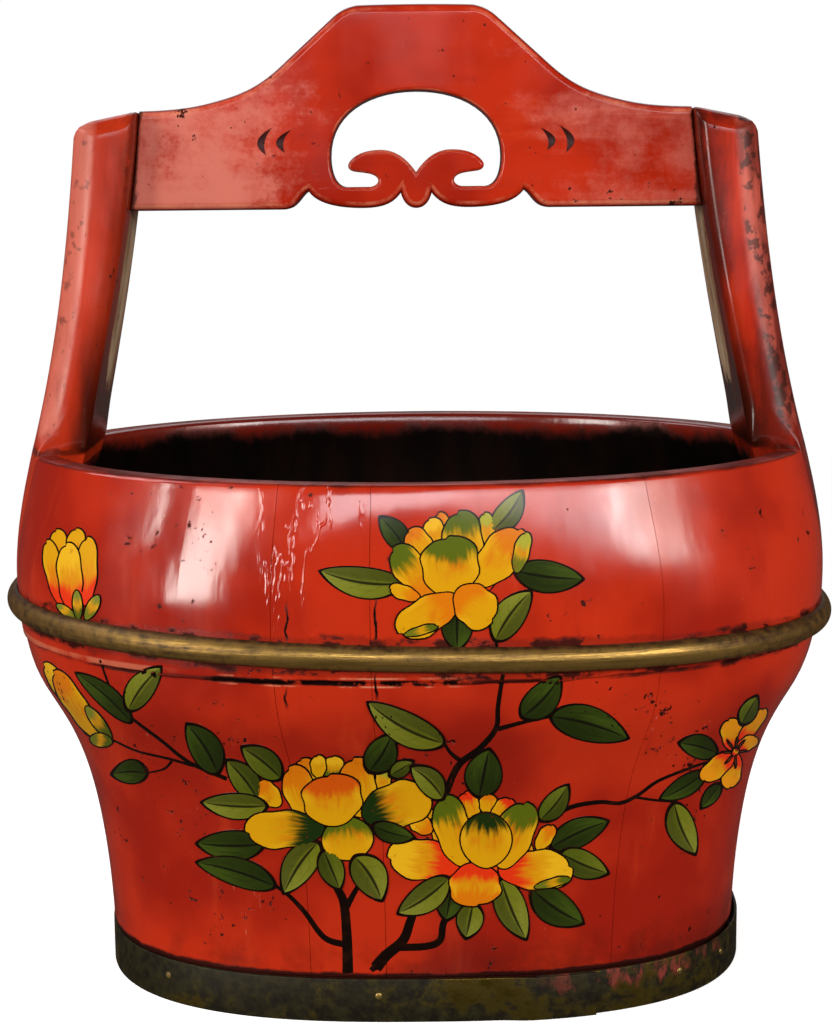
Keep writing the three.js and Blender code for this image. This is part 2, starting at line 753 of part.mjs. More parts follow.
// A board as thick as the bar, with its edges cut off at a slant
function edgedBoard(shape, edge) {
  const board = new THREE.ExtrudeGeometry(shape, {
    depth: barThick - 2 * edge,
    bevelThickness: edge,
    bevelSize: edge,
    bevelOffset: -edge,
    bevelSegments: 1,
    curveSegments: 4,
  });
  board.translate(0, 0, -(barThick - 2 * edge) / 2);
  return solidFrom(board.rotateX(Math.PI / 2));
}

function barSolid() {
  const plate = endPlateShape();
  plate.holes.push(archPath());
  const board = edgedBoard(barShape(), barRounding).intersect(edgedBoard(plate, barEdge));
  const gouges = [1, -1].flatMap((side) => [1, -1].flatMap((face) =>
    [innerGougeReach, outerGougeReach].map((reach) => gougeSolid(reach, side, face))));
  const right = tenonBox(0);
  const left = tenonBox(0).rotateZ(Math.PI);
  return joinAll(cutAll(board, gouges), [solidFrom(right), solidFrom(left)]);
}
addMesh('crossbar', geometryFrom(barSolid()), redLacquer());

// Hoop: a half-round bar bent round the belly
function sweptRing(sectionAt) {
  const sections = ringAngles.map(sectionAt);
  const around = sections[0].length;
  const faces = [];
  sections.forEach((section, k) => {
    const here = k * around;
    const there = ((k + 1) % sections.length) * around;
    for (let j = 0; j < around; j += 1) {
      const next = (j + 1) % around;
      faces.push(here + j, there + j, there + next, here + j, there + next, here + next);
    }
  });
  const geometry = new THREE.BufferGeometry().setFromPoints(sections.flat());
  geometry.setIndex(faces);
  return geometry;
}

function hoopSection(angle) {
  const middle = hoopHeight - hoopTilt * wallPoint(angle, hoopHeight, 0).x;
  const half = hoopTall / 2;
  const proud = Math.max(...[-half, 0, half].map((dz) => {
    const wall = wallPoint(angle, middle + dz, 0);
    return Math.hypot(wall.x, wall.y);
  }));
  const seat = wallPoint(angle, middle, 0);
  const clearance = fitGap + proud - Math.hypot(seat.x, seat.y);
  const outline = [[0, -half], [hoopEdge, -half]];
  for (let k = 1; k < 3; k += 1) {
    const turn = -Math.PI / 2 + k * Math.PI / 3;
    outline.push([hoopEdge + (hoopThick - hoopEdge) * Math.cos(turn), half * Math.sin(turn)]);
  }
  outline.push([hoopEdge, half], [0, half]);
  return outline.map(([out, up]) => {
    const foot = wallPoint(angle, middle, -clearance - out);
    return new THREE.Vector3(foot.x, foot.y, middle + up);
  });
}
addMesh('belly_hoop', sweptRing(hoopSection), agedBronze());

// Foot band: a flat strip whose end laps over its start
function bandStripGeometry() {
  const start = THREE.MathUtils.degToRad(bandLapAngle);
  const ahead = ringAngles.map((angle) => {
    const turn = (angle - start) % (2 * Math.PI);
    return turn < 0 ? turn + 2 * Math.PI : turn;
  });
  const startPoint = wallPoint(start, 0, 0);
  const lapTurn = bandLapLength / Math.hypot(startPoint.x, startPoint.y);
  const round = 2 * Math.PI;
  const clear = 2 * bandStopTurn;
  const between = ahead.filter((turn) => turn > clear && turn < round - clear).sort((a, b) => a - b);
  const stops = [0, ...between, round - bandStopTurn, round + 0.5 * lapTurn, round + lapTurn];
  const climb = bandThick + bandLapGap;
  const sections = stops.map((turn) => {
    const angle = start + turn;
    const over = climb * THREE.MathUtils.smoothstep(turn, round - bandClimbTurn, round - bandStopTurn);
    const inner = bandOffset(angle) - over;
    const point = (inset, z) => {
      const at = wallPoint(angle, Math.max(z, footChamfer), inset);
      return new THREE.Vector3(at.x, at.y, z);
    };
    return [
      point(inner, 0),
      point(inner - bandThick, 0),
      point(inner - bandThick, bandTall),
      point(inner, bandTall),
    ];
  });
  const faces = [];
  for (let k = 0; k < sections.length - 1; k += 1) {
    for (let j = 0; j < 4; j += 1) {
      const a = 4 * k + j;
      const b = 4 * k + (j + 1) % 4;
      faces.push(a, a + 4, b + 4, a, b + 4, b);
    }
  }
  const last = 4 * (sections.length - 1);
  faces.push(0, 1, 2, 0, 2, 3, last, last + 2, last + 1, last, last + 3, last + 2);
  const geometry = new THREE.BufferGeometry().setFromPoints(sections.flat());
  geometry.setIndex(faces);
  return geometry;
}
addMesh('foot_band', geometryFrom(cutAll(solidFrom(bandStripGeometry()), nailHoles)), greenedBronze());
nailRadians.forEach((angle, k) => {
  addMesh(`foot_nail_${k + 1}`, placeOnBand(nailGeometry(0), angle), brassNail());
});

// Bottom boards, cut from one plate, with pegs across their joints
const boardEdge = sizeAtHeight(depthCurves, boardUnderside) - wallThickness + grooveDepth;
const boardWidth = 2 * boardEdge / boardCount;
const boardReach = footHalfLength + cutMargin;
const jointDepths = Array.from({ length: boardCount - 1 }, (unused, k) => (k + 1) * boardWidth - boardEdge);

function boardPegs(grow) {
  return jointDepths.flatMap((y) => [-1, 1].map((side) => new THREE.BoxGeometry(
    boardPegWidth + 2 * grow,
    boardPegLength + 2 * grow,
    boardPegWidth + 2 * grow,
  ).translate(side * boardPegSpacing / 2, y, boardUnderside + boardThickness / 2)));
}

const plateSolid = solidFrom(bottomPlate(0, 0));
const boardPegHoles = boardPegs(fitGap).map(solidFrom);
for (let k = 0; k < boardCount; k += 1) {
  const slice = new THREE.BoxGeometry(2 * boardReach, boardWidth - seamGap, 4 * boardThickness);
  slice.translate(0, (k + 0.5) * boardWidth - boardEdge, boardUnderside);
  const board = cutAll(plateSolid.intersect(solidFrom(slice)), boardPegHoles);
  addMesh(`bottom_board_${k + 1}`, geometryFrom(board), bareFir());
}
boardPegs(0).forEach((peg, k) => addMesh(`bottom_peg_${k + 1}`, peg, bamboo()));

export default group;
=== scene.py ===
# %% [markdown]
# An oval lacquered food bucket, dressed around its CAD solids.
# The real object is coopered: wooden staves stand edge to edge, two long end staves rise as
# posts, a carved bar joins them, and a hoop and a foot band hold everything together. The CAD
# holds each piece at its real size, so this lesson makes their looks: smoother meshes that lie
# where the solids lie, worn red lacquer, aged metal, and the painted flowers on the front.
# Shapes are worked out in millimetres, as in the workshop, and turned to metres at the end.

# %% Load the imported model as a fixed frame
import math

import bmesh
import bpy
import numpy as np
from mathutils import Matrix, Vector


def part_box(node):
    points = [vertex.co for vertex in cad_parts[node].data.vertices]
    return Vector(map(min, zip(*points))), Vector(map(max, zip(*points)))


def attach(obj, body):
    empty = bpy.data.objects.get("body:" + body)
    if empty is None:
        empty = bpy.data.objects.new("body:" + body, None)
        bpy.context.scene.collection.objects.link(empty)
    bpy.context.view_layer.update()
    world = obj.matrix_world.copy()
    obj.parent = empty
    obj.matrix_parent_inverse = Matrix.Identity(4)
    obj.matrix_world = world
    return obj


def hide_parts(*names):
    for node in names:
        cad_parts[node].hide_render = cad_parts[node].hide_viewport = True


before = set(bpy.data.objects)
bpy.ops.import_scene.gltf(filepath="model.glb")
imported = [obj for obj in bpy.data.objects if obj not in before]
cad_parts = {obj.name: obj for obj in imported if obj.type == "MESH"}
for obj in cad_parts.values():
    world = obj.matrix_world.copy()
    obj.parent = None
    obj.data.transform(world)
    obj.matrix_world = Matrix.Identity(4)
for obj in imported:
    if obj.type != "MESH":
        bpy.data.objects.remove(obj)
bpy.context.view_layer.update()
BODY = "root"
MM = 0.001

# %% [markdown]
# The photograph was taken from a little above the rim, about a metre away. A camera has few
# numbers: where it stands, how far it tilts and how long its lens is. They are given as real
# distances, with the lens as its focal length in pixels of an 833 by 1024 picture, because
# that is how a camera is fitted to a photograph.

# %% Camera
PICTURE = (833, 1024)
FOCAL_PIXELS = 2057
EYE = Vector((-1.26, -950, 357.7)) * MM
PITCH_DOWN = 0.160
ROLL = -0.0095
SENSOR = 36


def new_object(name, data):
    """A new object in the scene."""
    made = bpy.data.objects.new(name, data)
    bpy.context.scene.collection.objects.link(made)
    return made


look = Matrix.Rotation(math.pi / 2 - PITCH_DOWN, 4, "X") @ Matrix.Rotation(ROLL, 4, "Z")
camera = new_object("camera", bpy.data.cameras.new("camera"))
camera.data.sensor_width = SENSOR
camera.data.lens = FOCAL_PIXELS * SENSOR / max(PICTURE)
camera.data.clip_start = 0.01
camera.matrix_world = Matrix.Translation(EYE) @ look
bpy.context.scene.camera = camera
print("lens", round(camera.data.lens, 2), "mm")

# %% [markdown]
# Glossy lacquer shows its surroundings, so the light is built from what the photograph
# reflects: a window to the left, a long soft strip above the front, a dimmer window to the
# right, and a panel at the far left that the posts' rounded corners catch. Around them the
# world stays dark, or the red would turn milky, and the floor and the three broad fill lights
# aren't mirrored for the same reason. Only the camera sees the world white, as a backdrop.

# %% Lights and floor
WINDOW_TINT = (1.0, 0.95, 0.88)
SKY_TINT = (0.98, 0.96, 1.0)
AIM = Vector((0, 0, 0.2))


def soft_light(name, azimuth, elevation, distance, width, height, power, tint, mirrored=True):
    """An area light that looks at the bucket. Azimuth 0 is in front, and grows to the right."""
    turn = math.radians(azimuth)
    rise = math.radians(elevation)
    side = Vector((math.sin(turn) * math.cos(rise), -math.cos(turn) * math.cos(rise), math.sin(rise)))
    light = bpy.data.lights.new(name, "AREA")
    light.shape = "RECTANGLE"
    light.size = width
    light.size_y = height
    light.energy = power
    light.color = tint
    lamp = new_object(name, light)
    lamp.location = AIM + side * distance
    lamp.rotation_euler = (-side).to_track_quat("-Z", "Y").to_euler()
    lamp.visible_glossy = mirrored


soft_light("window_left", -47, 9, 2.2, 0.5, 1.0, 22, WINDOW_TINT)
soft_light("strip_front", 15, 19, 2.2, 3.2, 0.36, 28, SKY_TINT)
soft_light("window_right", 54, 17, 2.3, 0.8, 0.6, 12, WINDOW_TINT)
soft_light("window_far", -66, 19, 2.2, 0.13, 0.26, 1.2, WINDOW_TINT)
soft_light("panel_left", -90, 40, 2.2, 1.1, 1.0, 13, SKY_TINT)
soft_light("fill_back", 180, 40, 2.6, 2.4, 1.4, 18, SKY_TINT)
soft_light("fill_front", 0, 32, 2.6, 2.6, 1.8, 13, WINDOW_TINT, mirrored=False)
soft_light("fill_left", -78, 6, 2.6, 2.0, 1.8, 18, WINDOW_TINT, mirrored=False)
soft_light("fill_right", 78, 6, 2.6, 2.0, 1.8, 33, WINDOW_TINT, mirrored=False)

world = bpy.data.worlds.new("studio")
bpy.context.scene.world = world
world.use_nodes = True
sky = world.node_tree
sky.nodes.clear()


def background(colour, strength):
    node = sky.nodes.new("ShaderNodeBackground")
    node.inputs["Color"].default_value = colour
    node.inputs["Strength"].default_value = strength
    return node


felt = background((1.0, 0.92, 0.86, 1), 0.05)
seen = background((1, 1, 1, 1), 1.0)
rays = sky.nodes.new("ShaderNodeLightPath")
choose = sky.nodes.new("ShaderNodeMixShader")
output = sky.nodes.new("ShaderNodeOutputWorld")
sky.links.new(rays.outputs["Is Camera Ray"], choose.inputs[0])
sky.links.new(felt.outputs[0], choose.inputs[1])
sky.links.new(seen.outputs[0], choose.inputs[2])
sky.links.new(choose.outputs[0], output.inputs[0])
bpy.context.scene.view_settings.view_transform = "Standard"

FLOOR_HALF = 2.0
FADE_START = 0.3
FADE_END = 0.9
FLOOR_GLOW = 0.56
floor_mesh = bpy.data.meshes.new("floor")
corners = [(-FLOOR_HALF, -FLOOR_HALF, 0), (FLOOR_HALF, -FLOOR_HALF, 0),
           (FLOOR_HALF, FLOOR_HALF, 0), (-FLOOR_HALF, FLOOR_HALF, 0)]
floor_mesh.from_pydata(corners, [], [(0, 1, 2, 3)])
floor = new_object("floor", floor_mesh)
floor.visible_glossy = False
floor.visible_diffuse = False

# %% [markdown]
# A finish in Blender is a small graph of nodes. Written node by node it is long and hard to
# read, so one small class wraps a node's output and lets Python's own signs add the Math
# nodes: 1 - mask * 0.5 reads as it looks. Every other node comes from one method, add.

# %% Shader sums as Python expressions
class Value:
    """One output of a finish. Arithmetic on it adds Math nodes."""

    def __init__(self, tree, socket):
        self.tree = tree
        self.socket = socket

    def sum_with(self, operation, first, second):
        return self.tree.add("ShaderNodeMath", {"operation": operation}, {0: first, 1: second})

    def __add__(self, other):
        return self.sum_with("ADD", self, other)

    def __sub__(self, other):
        return self.sum_with("SUBTRACT", self, other)

    def __mul__(self, other):
        return self.sum_with("MULTIPLY", self, other)

    def __gt__(self, other):
        return self.sum_with("GREATER_THAN", self, other)

    def __lt__(self, other):
        return self.sum_with("LESS_THAN", self, other)

    def __rsub__(self, other):
        return self.sum_with("SUBTRACT", other, self)

    __radd__ = __add__
    __rmul__ = __mul__


def linear(red, green, blue):
    """A colour as read on a screen, 0 to 255, in the linear light that shaders use."""
    def bend(level):
        share = level / 255
        return share / 12.92 if share <= 0.04045 else ((share + 0.055) / 1.055) ** 2.4
    return (bend(red), bend(green), bend(blue), 1.0)


class Finish:
    """A material under construction, with a Principled shader at its end."""

    def __init__(self, name):
        self.material = bpy.data.materials.new(name)
        self.material.use_nodes = True
        self.nodes = self.material.node_tree.nodes
        self.links = self.material.node_tree.links
        self.shader = self.nodes["Principled BSDF"]
        self.known_axes = {}

    def add(self, kind, settings, inputs, output=0):
        """Adds a node: its settings first, then what goes into its sockets."""
        node = self.nodes.new(kind)
        for name, value in settings.items():
            setattr(node, name, value)
        for name, value in inputs.items():
            self.feed(node.inputs[name], value)
        return Value(self, node.outputs[output])

    def feed(self, socket, value):
        if isinstance(value, Value):
            self.links.new(value.socket, socket)
        else:
            socket.default_value = value

    def places(self, stretch=(1, 1, 1)):
        """Where a point is on the object, in metres, with each axis stretched."""
        spot = self.add("ShaderNodeTexCoord", {}, {}, "Object")
        return self.add("ShaderNodeVectorMath", {"operation": "MULTIPLY"}, {0: spot, 1: stretch})

    def part(self, vector, axis):
        return self.add("ShaderNodeSeparateXYZ", {}, {0: vector}, axis)

    def at(self, axis):
        """Where a point is along X, Y or Z of the object, in millimetres."""
        if axis not in self.known_axes:
            self.known_axes[axis] = self.part(self.places((1 / MM, 1 / MM, 1 / MM)), axis)
        return self.known_axes[axis]

    def reach(self, axis):
        """How far a point is from the object's middle along an axis, in millimetres."""
        return self.size_of(self.at(axis))

    def in_front(self):
        return self.at("Y") < 0.0

    def named(self, title, output="Fac"):
        """What the mesh carries under this name."""
        return self.add("ShaderNodeAttribute", {"attribute_name": title}, {}, output)

    def noise(self, scale, detail=3.0, roughness=0.55, stretch=(1, 1, 1)):
        """Cloudy noise. A low number in stretch draws it out along that axis."""
        sockets = {"Vector": self.places(stretch), "Scale": scale, "Detail": detail, "Roughness": roughness}
        return self.add("ShaderNodeTexNoise", {}, sockets)

    def ramp(self, value, low, high):
        """0 below low and 1 above high, with a soft step between. It falls where low is over high."""
        sockets = {"Value": value, "From Min": low, "From Max": high}
        return self.add("ShaderNodeMapRange", {"interpolation_type": "SMOOTHSTEP"}, sockets)

    def near(self, value, place, close, far):
        """1 within close of a place and 0 beyond far."""
        return self.ramp(self.size_of(value - place), far, close)

    def between(self, value, start, full_from, full_to, end):
        """1 from full_from to full_to, 0 before start and after end, with soft steps."""
        return self.ramp(value, start, full_from) * self.ramp(value, end, full_to)

    def blend(self, share, first, second):
        return self.add("ShaderNodeMix", {"data_type": "RGBA"}, {0: share, 6: first, 7: second}, 2)

    def most(self, largest, *others):
        for other in others:
            largest = self.add("ShaderNodeMath", {"operation": "MAXIMUM"}, {0: largest, 1: other})
        return largest

    def size_of(self, value):
        return self.add("ShaderNodeMath", {"operation": "ABSOLUTE"}, {0: value})

    def bump(self, height, distance, strength=1.0):
        sockets = {"Height": height, "Distance": distance, "Strength": strength}
        return self.add("ShaderNodeBump", {}, sockets, "Normal")

    def done(self, colour, roughness, normal=None, metallic=0.0, gloss=0.5):
        self.feed(self.shader.inputs["Base Color"], colour)
        self.feed(self.shader.inputs["Roughness"], roughness)
        self.feed(self.shader.inputs["Metallic"], metallic)
        self.feed(self.shader.inputs["Specular IOR Level"], gloss)
        if normal is not None:
            self.feed(self.shader.inputs["Normal"], normal)
        return self.material


def pale_floor():
    """Pale paper that fades out, so that the floor runs into the white backdrop without a line."""
    paper = Finish("pale_floor")
    grain = paper.noise(30.0)
    colour = paper.blend(paper.ramp(grain, 0.3, 0.7), linear(240, 240, 240), linear(246, 246, 246))
    reach = paper.add("ShaderNodeVectorMath", {"operation": "LENGTH"}, {0: paper.places()}, "Value")
    paper.feed(paper.shader.inputs["Alpha"], paper.ramp(reach, FADE_END, FADE_START))
    paper.shader.inputs["Emission Color"].default_value = (1, 1, 1, 1)
    paper.shader.inputs["Emission Strength"].default_value = FLOOR_GLOW
    return paper.done(colour, 0.8, gloss=0.2)


floor_mesh.materials.append(pale_floor())
print("floor finish", floor_mesh.materials[0].name)

# %% [markdown]
# The red lacquer is old and hand-rubbed. Its red drifts between vermilion and a deeper red in
# patches as wide as a hand, brush marks run along each piece, and small chips show the dark
# ground coat. In front it has cracked upright, shrunk into fine creases, and split along the
# ledge under the hoop; the split's edges are worn light, and a lip beside it on the left is a
# painted highlight. Dirt gathers where a cloth can't reach: over the foot band, at the rim and
# on the posts, and along the hoop, where the dark band is partly a painted shadow of the hoop.
# Handling takes the gloss off the bar and the posts and leaves a pink bloom that is partly a
# painted sheen, the carved edges are light from wear and partly from painted highlights, and on
# the inner backs of the posts it has gone down to bare wood. The posts' inner sides are darkened
# with painted shade. One function makes the coat, and each piece adds its own wear and painted
# light with a short function. All places are in millimetres, as on the bench.

# %% Colours of the lacquer, and the places where it is worn
VERMILION = linear(184, 43, 15)
DEEP_RED = linear(148, 26, 9)
ORANGE_RED = linear(202, 64, 26)
DARK_RED = linear(104, 20, 11)
GRIMED_RED = linear(84, 20, 12)
INNER_RED = linear(122, 26, 12)
GROUND_COAT_AND_SHADE = linear(34, 14, 8)
GOUGE_BROWN = linear(46, 24, 20)
RUBBED_AND_SHEEN_PINK = linear(206, 116, 98)
WORN_AND_HIGHLIGHT_LIGHT = linear(214, 128, 96)
BARE_BEIGE = linear(180, 154, 126)
BARE_BROWN = linear(120, 84, 58)
STANDING = (2.2, 2.2, 0.3)
LYING = (0.3, 2.2, 2.2)
HOOP_HEIGHT = 167.0
HOOP_TILT = 0.024
HOOP_DIRT_AND_SHADE = (9.0, 6.4)
FOOT_DIRT = (22.8, 21.2)
RIM_DIRT = (235.5, 236.7)
SPLIT_HEIGHT = 156.6
SPLIT_EDGE = 1.9
LIP_HEIGHT = 158.6
POST_EDGE = (36, 44)
POST_SEAT = 238.4
JOINT_LEAN = 0.08
BAR_HALF = 11.0
BAR_BOTTOM = 345.0
GOUGE_REACHES = (60.0, 68.5)
GOUGE_HEIGHT = 375.4
GOUGE_TALL = 12.5
GOUGE_MARGIN = 6.0
INNER_RED_FROM = 226.2
FRONT_CRACKS = ((-54, 172, 192), (-18, 172, 195), (-18, 148, 164), (-55, 144, 156), (-17, 116, 132))
print("lacquer is split", SPLIT_HEIGHT, "mm up, and has", len(FRONT_CRACKS), "upright cracks in front")

# %% Wear, dirt and painted light of the wall
def above_hoop(finish):
    """How far a point is above the middle of the hoop, which is tilted."""
    return finish.at("Z") + finish.at("X") * HOOP_TILT - HOOP_HEIGHT


def front_cracks(coat):
    """Dark upright cracks in front, each given as a place along X and the heights of its ends."""
    along = coat.at("X") + (coat.noise(105.0, 3.0) - 0.5) * 5
    found = 0.0
    for place, low, high in FRONT_CRACKS:
        span = coat.between(coat.at("Z"), low, low + 5, high - 8, high)
        found = coat.most(found, coat.near(along, place, 0.3, 0.7) * span)
    return found * coat.in_front()


def long_split(coat, broken):
    """1 along the stretch in front where the lacquer has split along the ledge."""
    along = coat.at("X") + (broken - 0.5) * 20
    return coat.between(along, -84, -74, 10, 20) * coat.in_front()


def wall_dirt_and_shade(coat, fine):
    """Dirt and a painted shadow beside the hoop, dirt in the ledge under it, over the foot band, at the rim
    and in cracks.
    """
    height = coat.at("Z")
    rag = (fine - 0.5) * 5 + (coat.noise(40.0, 4.0, stretch=(1, 1, 0.6)) - 0.5) * 8
    broken = coat.ramp(coat.noise(22.0, 5.0, 0.65), 0.42, 0.6)
    crisp = coat.ramp(coat.noise(64.0, 5.0, 0.68, stretch=(1, 1, 1.6)), 0.5, 0.56)
    # Painted shadow of the hoop: a dark band beside it all round, with dirt patches on top.
    beside = coat.ramp(coat.size_of(above_hoop(coat)) + rag, *HOOP_DIRT_AND_SHADE) * (crisp * 0.65 + 0.2)
    split = long_split(coat, broken)
    ledge = coat.near(height + rag * 0.2, SPLIT_HEIGHT, split * 0.3 + 0.5, split * 0.3 + 1.4)
    ledge = ledge * coat.most(broken * 0.8, split * coat.ramp(broken, 0.1, 0.3))
    foot = coat.ramp(height + rag * 0.4, *FOOT_DIRT) * 0.9
    splashed = coat.ramp(height + rag * 2.0, 45, 20) * broken * 0.3
    beside_post = coat.ramp(coat.reach("Y"), *POST_EDGE)
    rim = coat.ramp(height + rag * 0.25, *RIM_DIRT) * (broken * 0.35 + 0.35) * beside_post
    return coat.most(beside, ledge, foot, splashed, rim, front_cracks(coat))


def stave_wear_and_highlights(coat, colour, brushed, fine):
    """Light worn edges above and below the split, and a painted highlight on a lip at its height on the
    left.
    """
    broken = coat.noise(34.0, 5.0, 0.65)
    from_split = coat.size_of(coat.at("Z") - SPLIT_HEIGHT - 0.2)
    edge = coat.near(from_split, SPLIT_EDGE, 0.2, 0.6) * long_split(coat, broken)
    left = coat.ramp(coat.at("X"), -96, -112) * coat.in_front()
    # Painted highlight: a light lip at the ledge's height on the left, in front.
    lip = coat.near(coat.at("Z"), LIP_HEIGHT, 0.9, 1.7) * left * coat.ramp(broken, 0.4, 0.56)
    worn = coat.most(edge * coat.ramp(broken, 0.44, 0.56), lip * 0.6)
    return coat.blend(worn * 0.8, colour, WORN_AND_HIGHLIGHT_LIGHT), 0.0


def front_creases(coat):
    """Thin ridges where the lacquer has shrunk, left of the top flower."""
    flow = coat.noise(52.0, 4.0, 0.6, stretch=(1, 1, 0.24))
    patch = coat.between(coat.at("X"), -68, -56, -34, -18) * coat.ramp(coat.at("Z"), 169, 180)
    return coat.near(flow, 0.5, 0.0, 0.022) * patch * coat.in_front()


print("wear of the wall ready")

# %% Wear, dirt and painted light of the posts and the bar
def post_wear_sheen_and_shade(coat, colour, brushed, fine):
    """Bloom with a painted sheen, pits and grime outside, dirt at the joints, painted shade on the inner
    side, and bare wood at the back.
    """
    handled = coat.named("handled")
    reach = coat.reach("X")
    height = coat.at("Z")
    cloud = coat.noise(26.0, 6.0, 0.7, stretch=(1, 1, 0.4))
    left = coat.ramp(coat.at("X"), 100, -100)
    colour = coat.blend(left * 0.35, colour, ORANGE_RED)
    # Pink bloom on the outer corners, partly a painted sheen standing for a spread reflection there.
    bloom_and_sheen = coat.ramp(cloud + handled * 0.42, 0.66 - left * 0.05, 0.94) * (left * 0.2 + 0.42)
    colour = coat.blend(bloom_and_sheen, colour, RUBBED_AND_SHEEN_PINK)
    pits = coat.ramp(fine - left * 0.06, 0.5, 0.57)
    pocked = pits * coat.ramp(handled + cloud, 0.9, 1.3) * (0.75 - left * 0.3)
    grimed = coat.ramp(cloud + (brushed - 0.5) * 0.8 + left * 0.2, 0.74, 0.44) * (0.85 - left * 0.5)
    colour = coat.blend(grimed, colour, GRIMED_RED)
    corner = coat.ramp(reach + height * JOINT_LEAN + (fine - 0.5) * 9, 159.8, 156.6)
    joint = corner * coat.ramp(height, 338, 346)
    inner = coat.ramp(reach + height * 0.2 + (cloud - 0.5) * 12, 210.0, 199.5)
    # Painted shade: the inner side of the post darkens towards the ground coat, more so lower down.
    shaded = inner * (coat.ramp(height, 310, 250) * 0.5 + 0.4) * coat.ramp(height, 236.5, 238.5)
    seat = coat.near(height + (fine - 0.5) * 6, POST_SEAT, 0.8, 2.2) * coat.ramp(cloud, 0.4, 0.55)
    dirt_and_shade = coat.most(pocked, joint * 0.65, seat * 0.7, shaded)
    colour = coat.blend(dirt_and_shade, colour, GROUND_COAT_AND_SHADE)
    worn = coat.named("bare") + (brushed - 0.5) * 0.7 + (fine - 0.5) * 0.6
    rubbed = coat.ramp(worn, 0.3, 0.62)
    wood = coat.blend(coat.ramp(brushed, 0.35, 0.65), BARE_BEIGE, BARE_BROWN)
    return coat.blend(rubbed, colour, wood), handled * 0.2 + rubbed * 0.4 + 0.05


def bar_wear_sheen_and_highlights(coat, colour, brushed, fine):
    """Cloudy bloom towards the ends that is partly a painted sheen, light edges from wear and painted
    highlights, dark red slants and dark gouges.
    """
    deep = coat.reach("Y")
    reach = coat.reach("X")
    height = coat.at("Z")
    cloud = coat.noise(30.0, 9.0, 0.76) + (brushed - 0.5) * 0.5
    share = coat.ramp(reach, 20, 90) * 0.32 - 0.13
    left = coat.ramp(coat.at("X"), 90, -110)
    # Pink bloom towards the ends, partly a painted sheen.
    bloom_and_sheen = coat.ramp(cloud + share + left * 0.06, 0.54, 0.84) * (left * 0.35 + 0.42)
    colour = coat.blend(bloom_and_sheen, colour, RUBBED_AND_SHEEN_PINK)
    slant = coat.ramp(deep, BAR_HALF - 0.9, BAR_HALF - 1.8)
    colour = coat.blend(slant * 0.85, colour, DARK_RED)
    # Light line along the face's edge, partly wear and partly a painted highlight.
    edge = coat.between(deep, BAR_HALF - 1.0, BAR_HALF - 0.5, BAR_HALF - 0.2, BAR_HALF - 0.05)
    colour = coat.blend(edge * coat.ramp(cloud, 0.42, 0.62) * 0.6, colour, WORN_AND_HIGHLIGHT_LIGHT)
    beside = (reach > GOUGE_REACHES[0] - GOUGE_MARGIN) * (reach < GOUGE_REACHES[1] + GOUGE_MARGIN)
    level = (height > GOUGE_HEIGHT - GOUGE_TALL) * (height < GOUGE_HEIGHT + GOUGE_TALL)
    inside = beside * level * coat.ramp(deep, BAR_HALF - 0.2, BAR_HALF - 0.9)
    colour = coat.blend(inside * 0.8, colour, GOUGE_BROWN)
    from_joint = reach + (height - BAR_BOTTOM) * JOINT_LEAN + (fine - 0.5) * 6
    colour = coat.blend(coat.ramp(from_joint, 126.2, 127.6) * 0.8, colour, GROUND_COAT_AND_SHADE)
    return colour, bloom_and_sheen * 0.3 + inside * 0.3


print("wear of the posts and the bar ready")

# %% Red lacquer
def red_lacquer(name, grain, wear_and_light, dirt_and_shade_rule=None, creases=None, polish=1.0):
    """Lacquer with brush marks along its grain, chips, dirt with some painted shade, and wear and painted
    light of the piece's own.
    """
    coat = Finish(name)
    patches = coat.noise(13.0, 3.0)
    brushed = coat.noise(30.0, 4.0, 0.6, stretch=grain)
    fine = coat.noise(150.0, 4.0, 0.62)
    colour = coat.blend(coat.ramp(patches, 0.40, 0.64), VERMILION, DEEP_RED)
    colour = coat.blend(coat.ramp(brushed, 0.55, 0.8) * 0.4, colour, ORANGE_RED)
    colour = coat.blend(coat.ramp(brushed, 0.42, 0.2) * 0.5, colour, DEEP_RED)
    colour, dull = wear_and_light(coat, colour, brushed, fine)

    chip_zone = coat.ramp(coat.noise(16.0, 2.0), 0.45, 0.68) * 0.07
    chipped = coat.ramp(coat.noise(120.0, 5.0, 0.7) + chip_zone, 0.69, 0.71)
    pitted = coat.ramp(coat.noise(330.0, 2.0) + chip_zone, 0.76, 0.79)
    scuffed = coat.ramp(coat.noise(190.0, 4.0, 0.7, stretch=grain) + chip_zone, 0.72, 0.78) * 0.45
    colour = coat.blend(scuffed, colour, RUBBED_AND_SHEEN_PINK)
    dirt_and_shade = coat.most(chipped, pitted) * 0.85
    if dirt_and_shade_rule is not None:
        dirt_and_shade = coat.most(dirt_and_shade, dirt_and_shade_rule(coat, fine))
    colour = coat.blend(dirt_and_shade, colour, GROUND_COAT_AND_SHADE)

    haze = coat.ramp(coat.noise(17.0, 5.0, 0.6, stretch=(1, 1, 0.5)), 0.42, 0.7)
    rough = 0.11 + haze * 0.15 + dirt_and_shade * 0.5 + coat.ramp(fine, 0.6, 0.8) * 0.08 + dull
    waves = coat.noise(24.0, 3.0, 0.55, stretch=(1, 1, 0.45)) * 0.0009
    ripple = waves + coat.noise(60.0, 3.0, stretch=grain) * 0.00012
    surface = ripple * polish + fine * 0.00003 - chipped * 0.0003
    if creases is not None:
        surface = surface + creases(coat) * 0.00024
    return coat.done(colour, rough, coat.bump(surface, 1.0, 0.7), metallic=dirt_and_shade * 0.95, gloss=0.7 * polish)


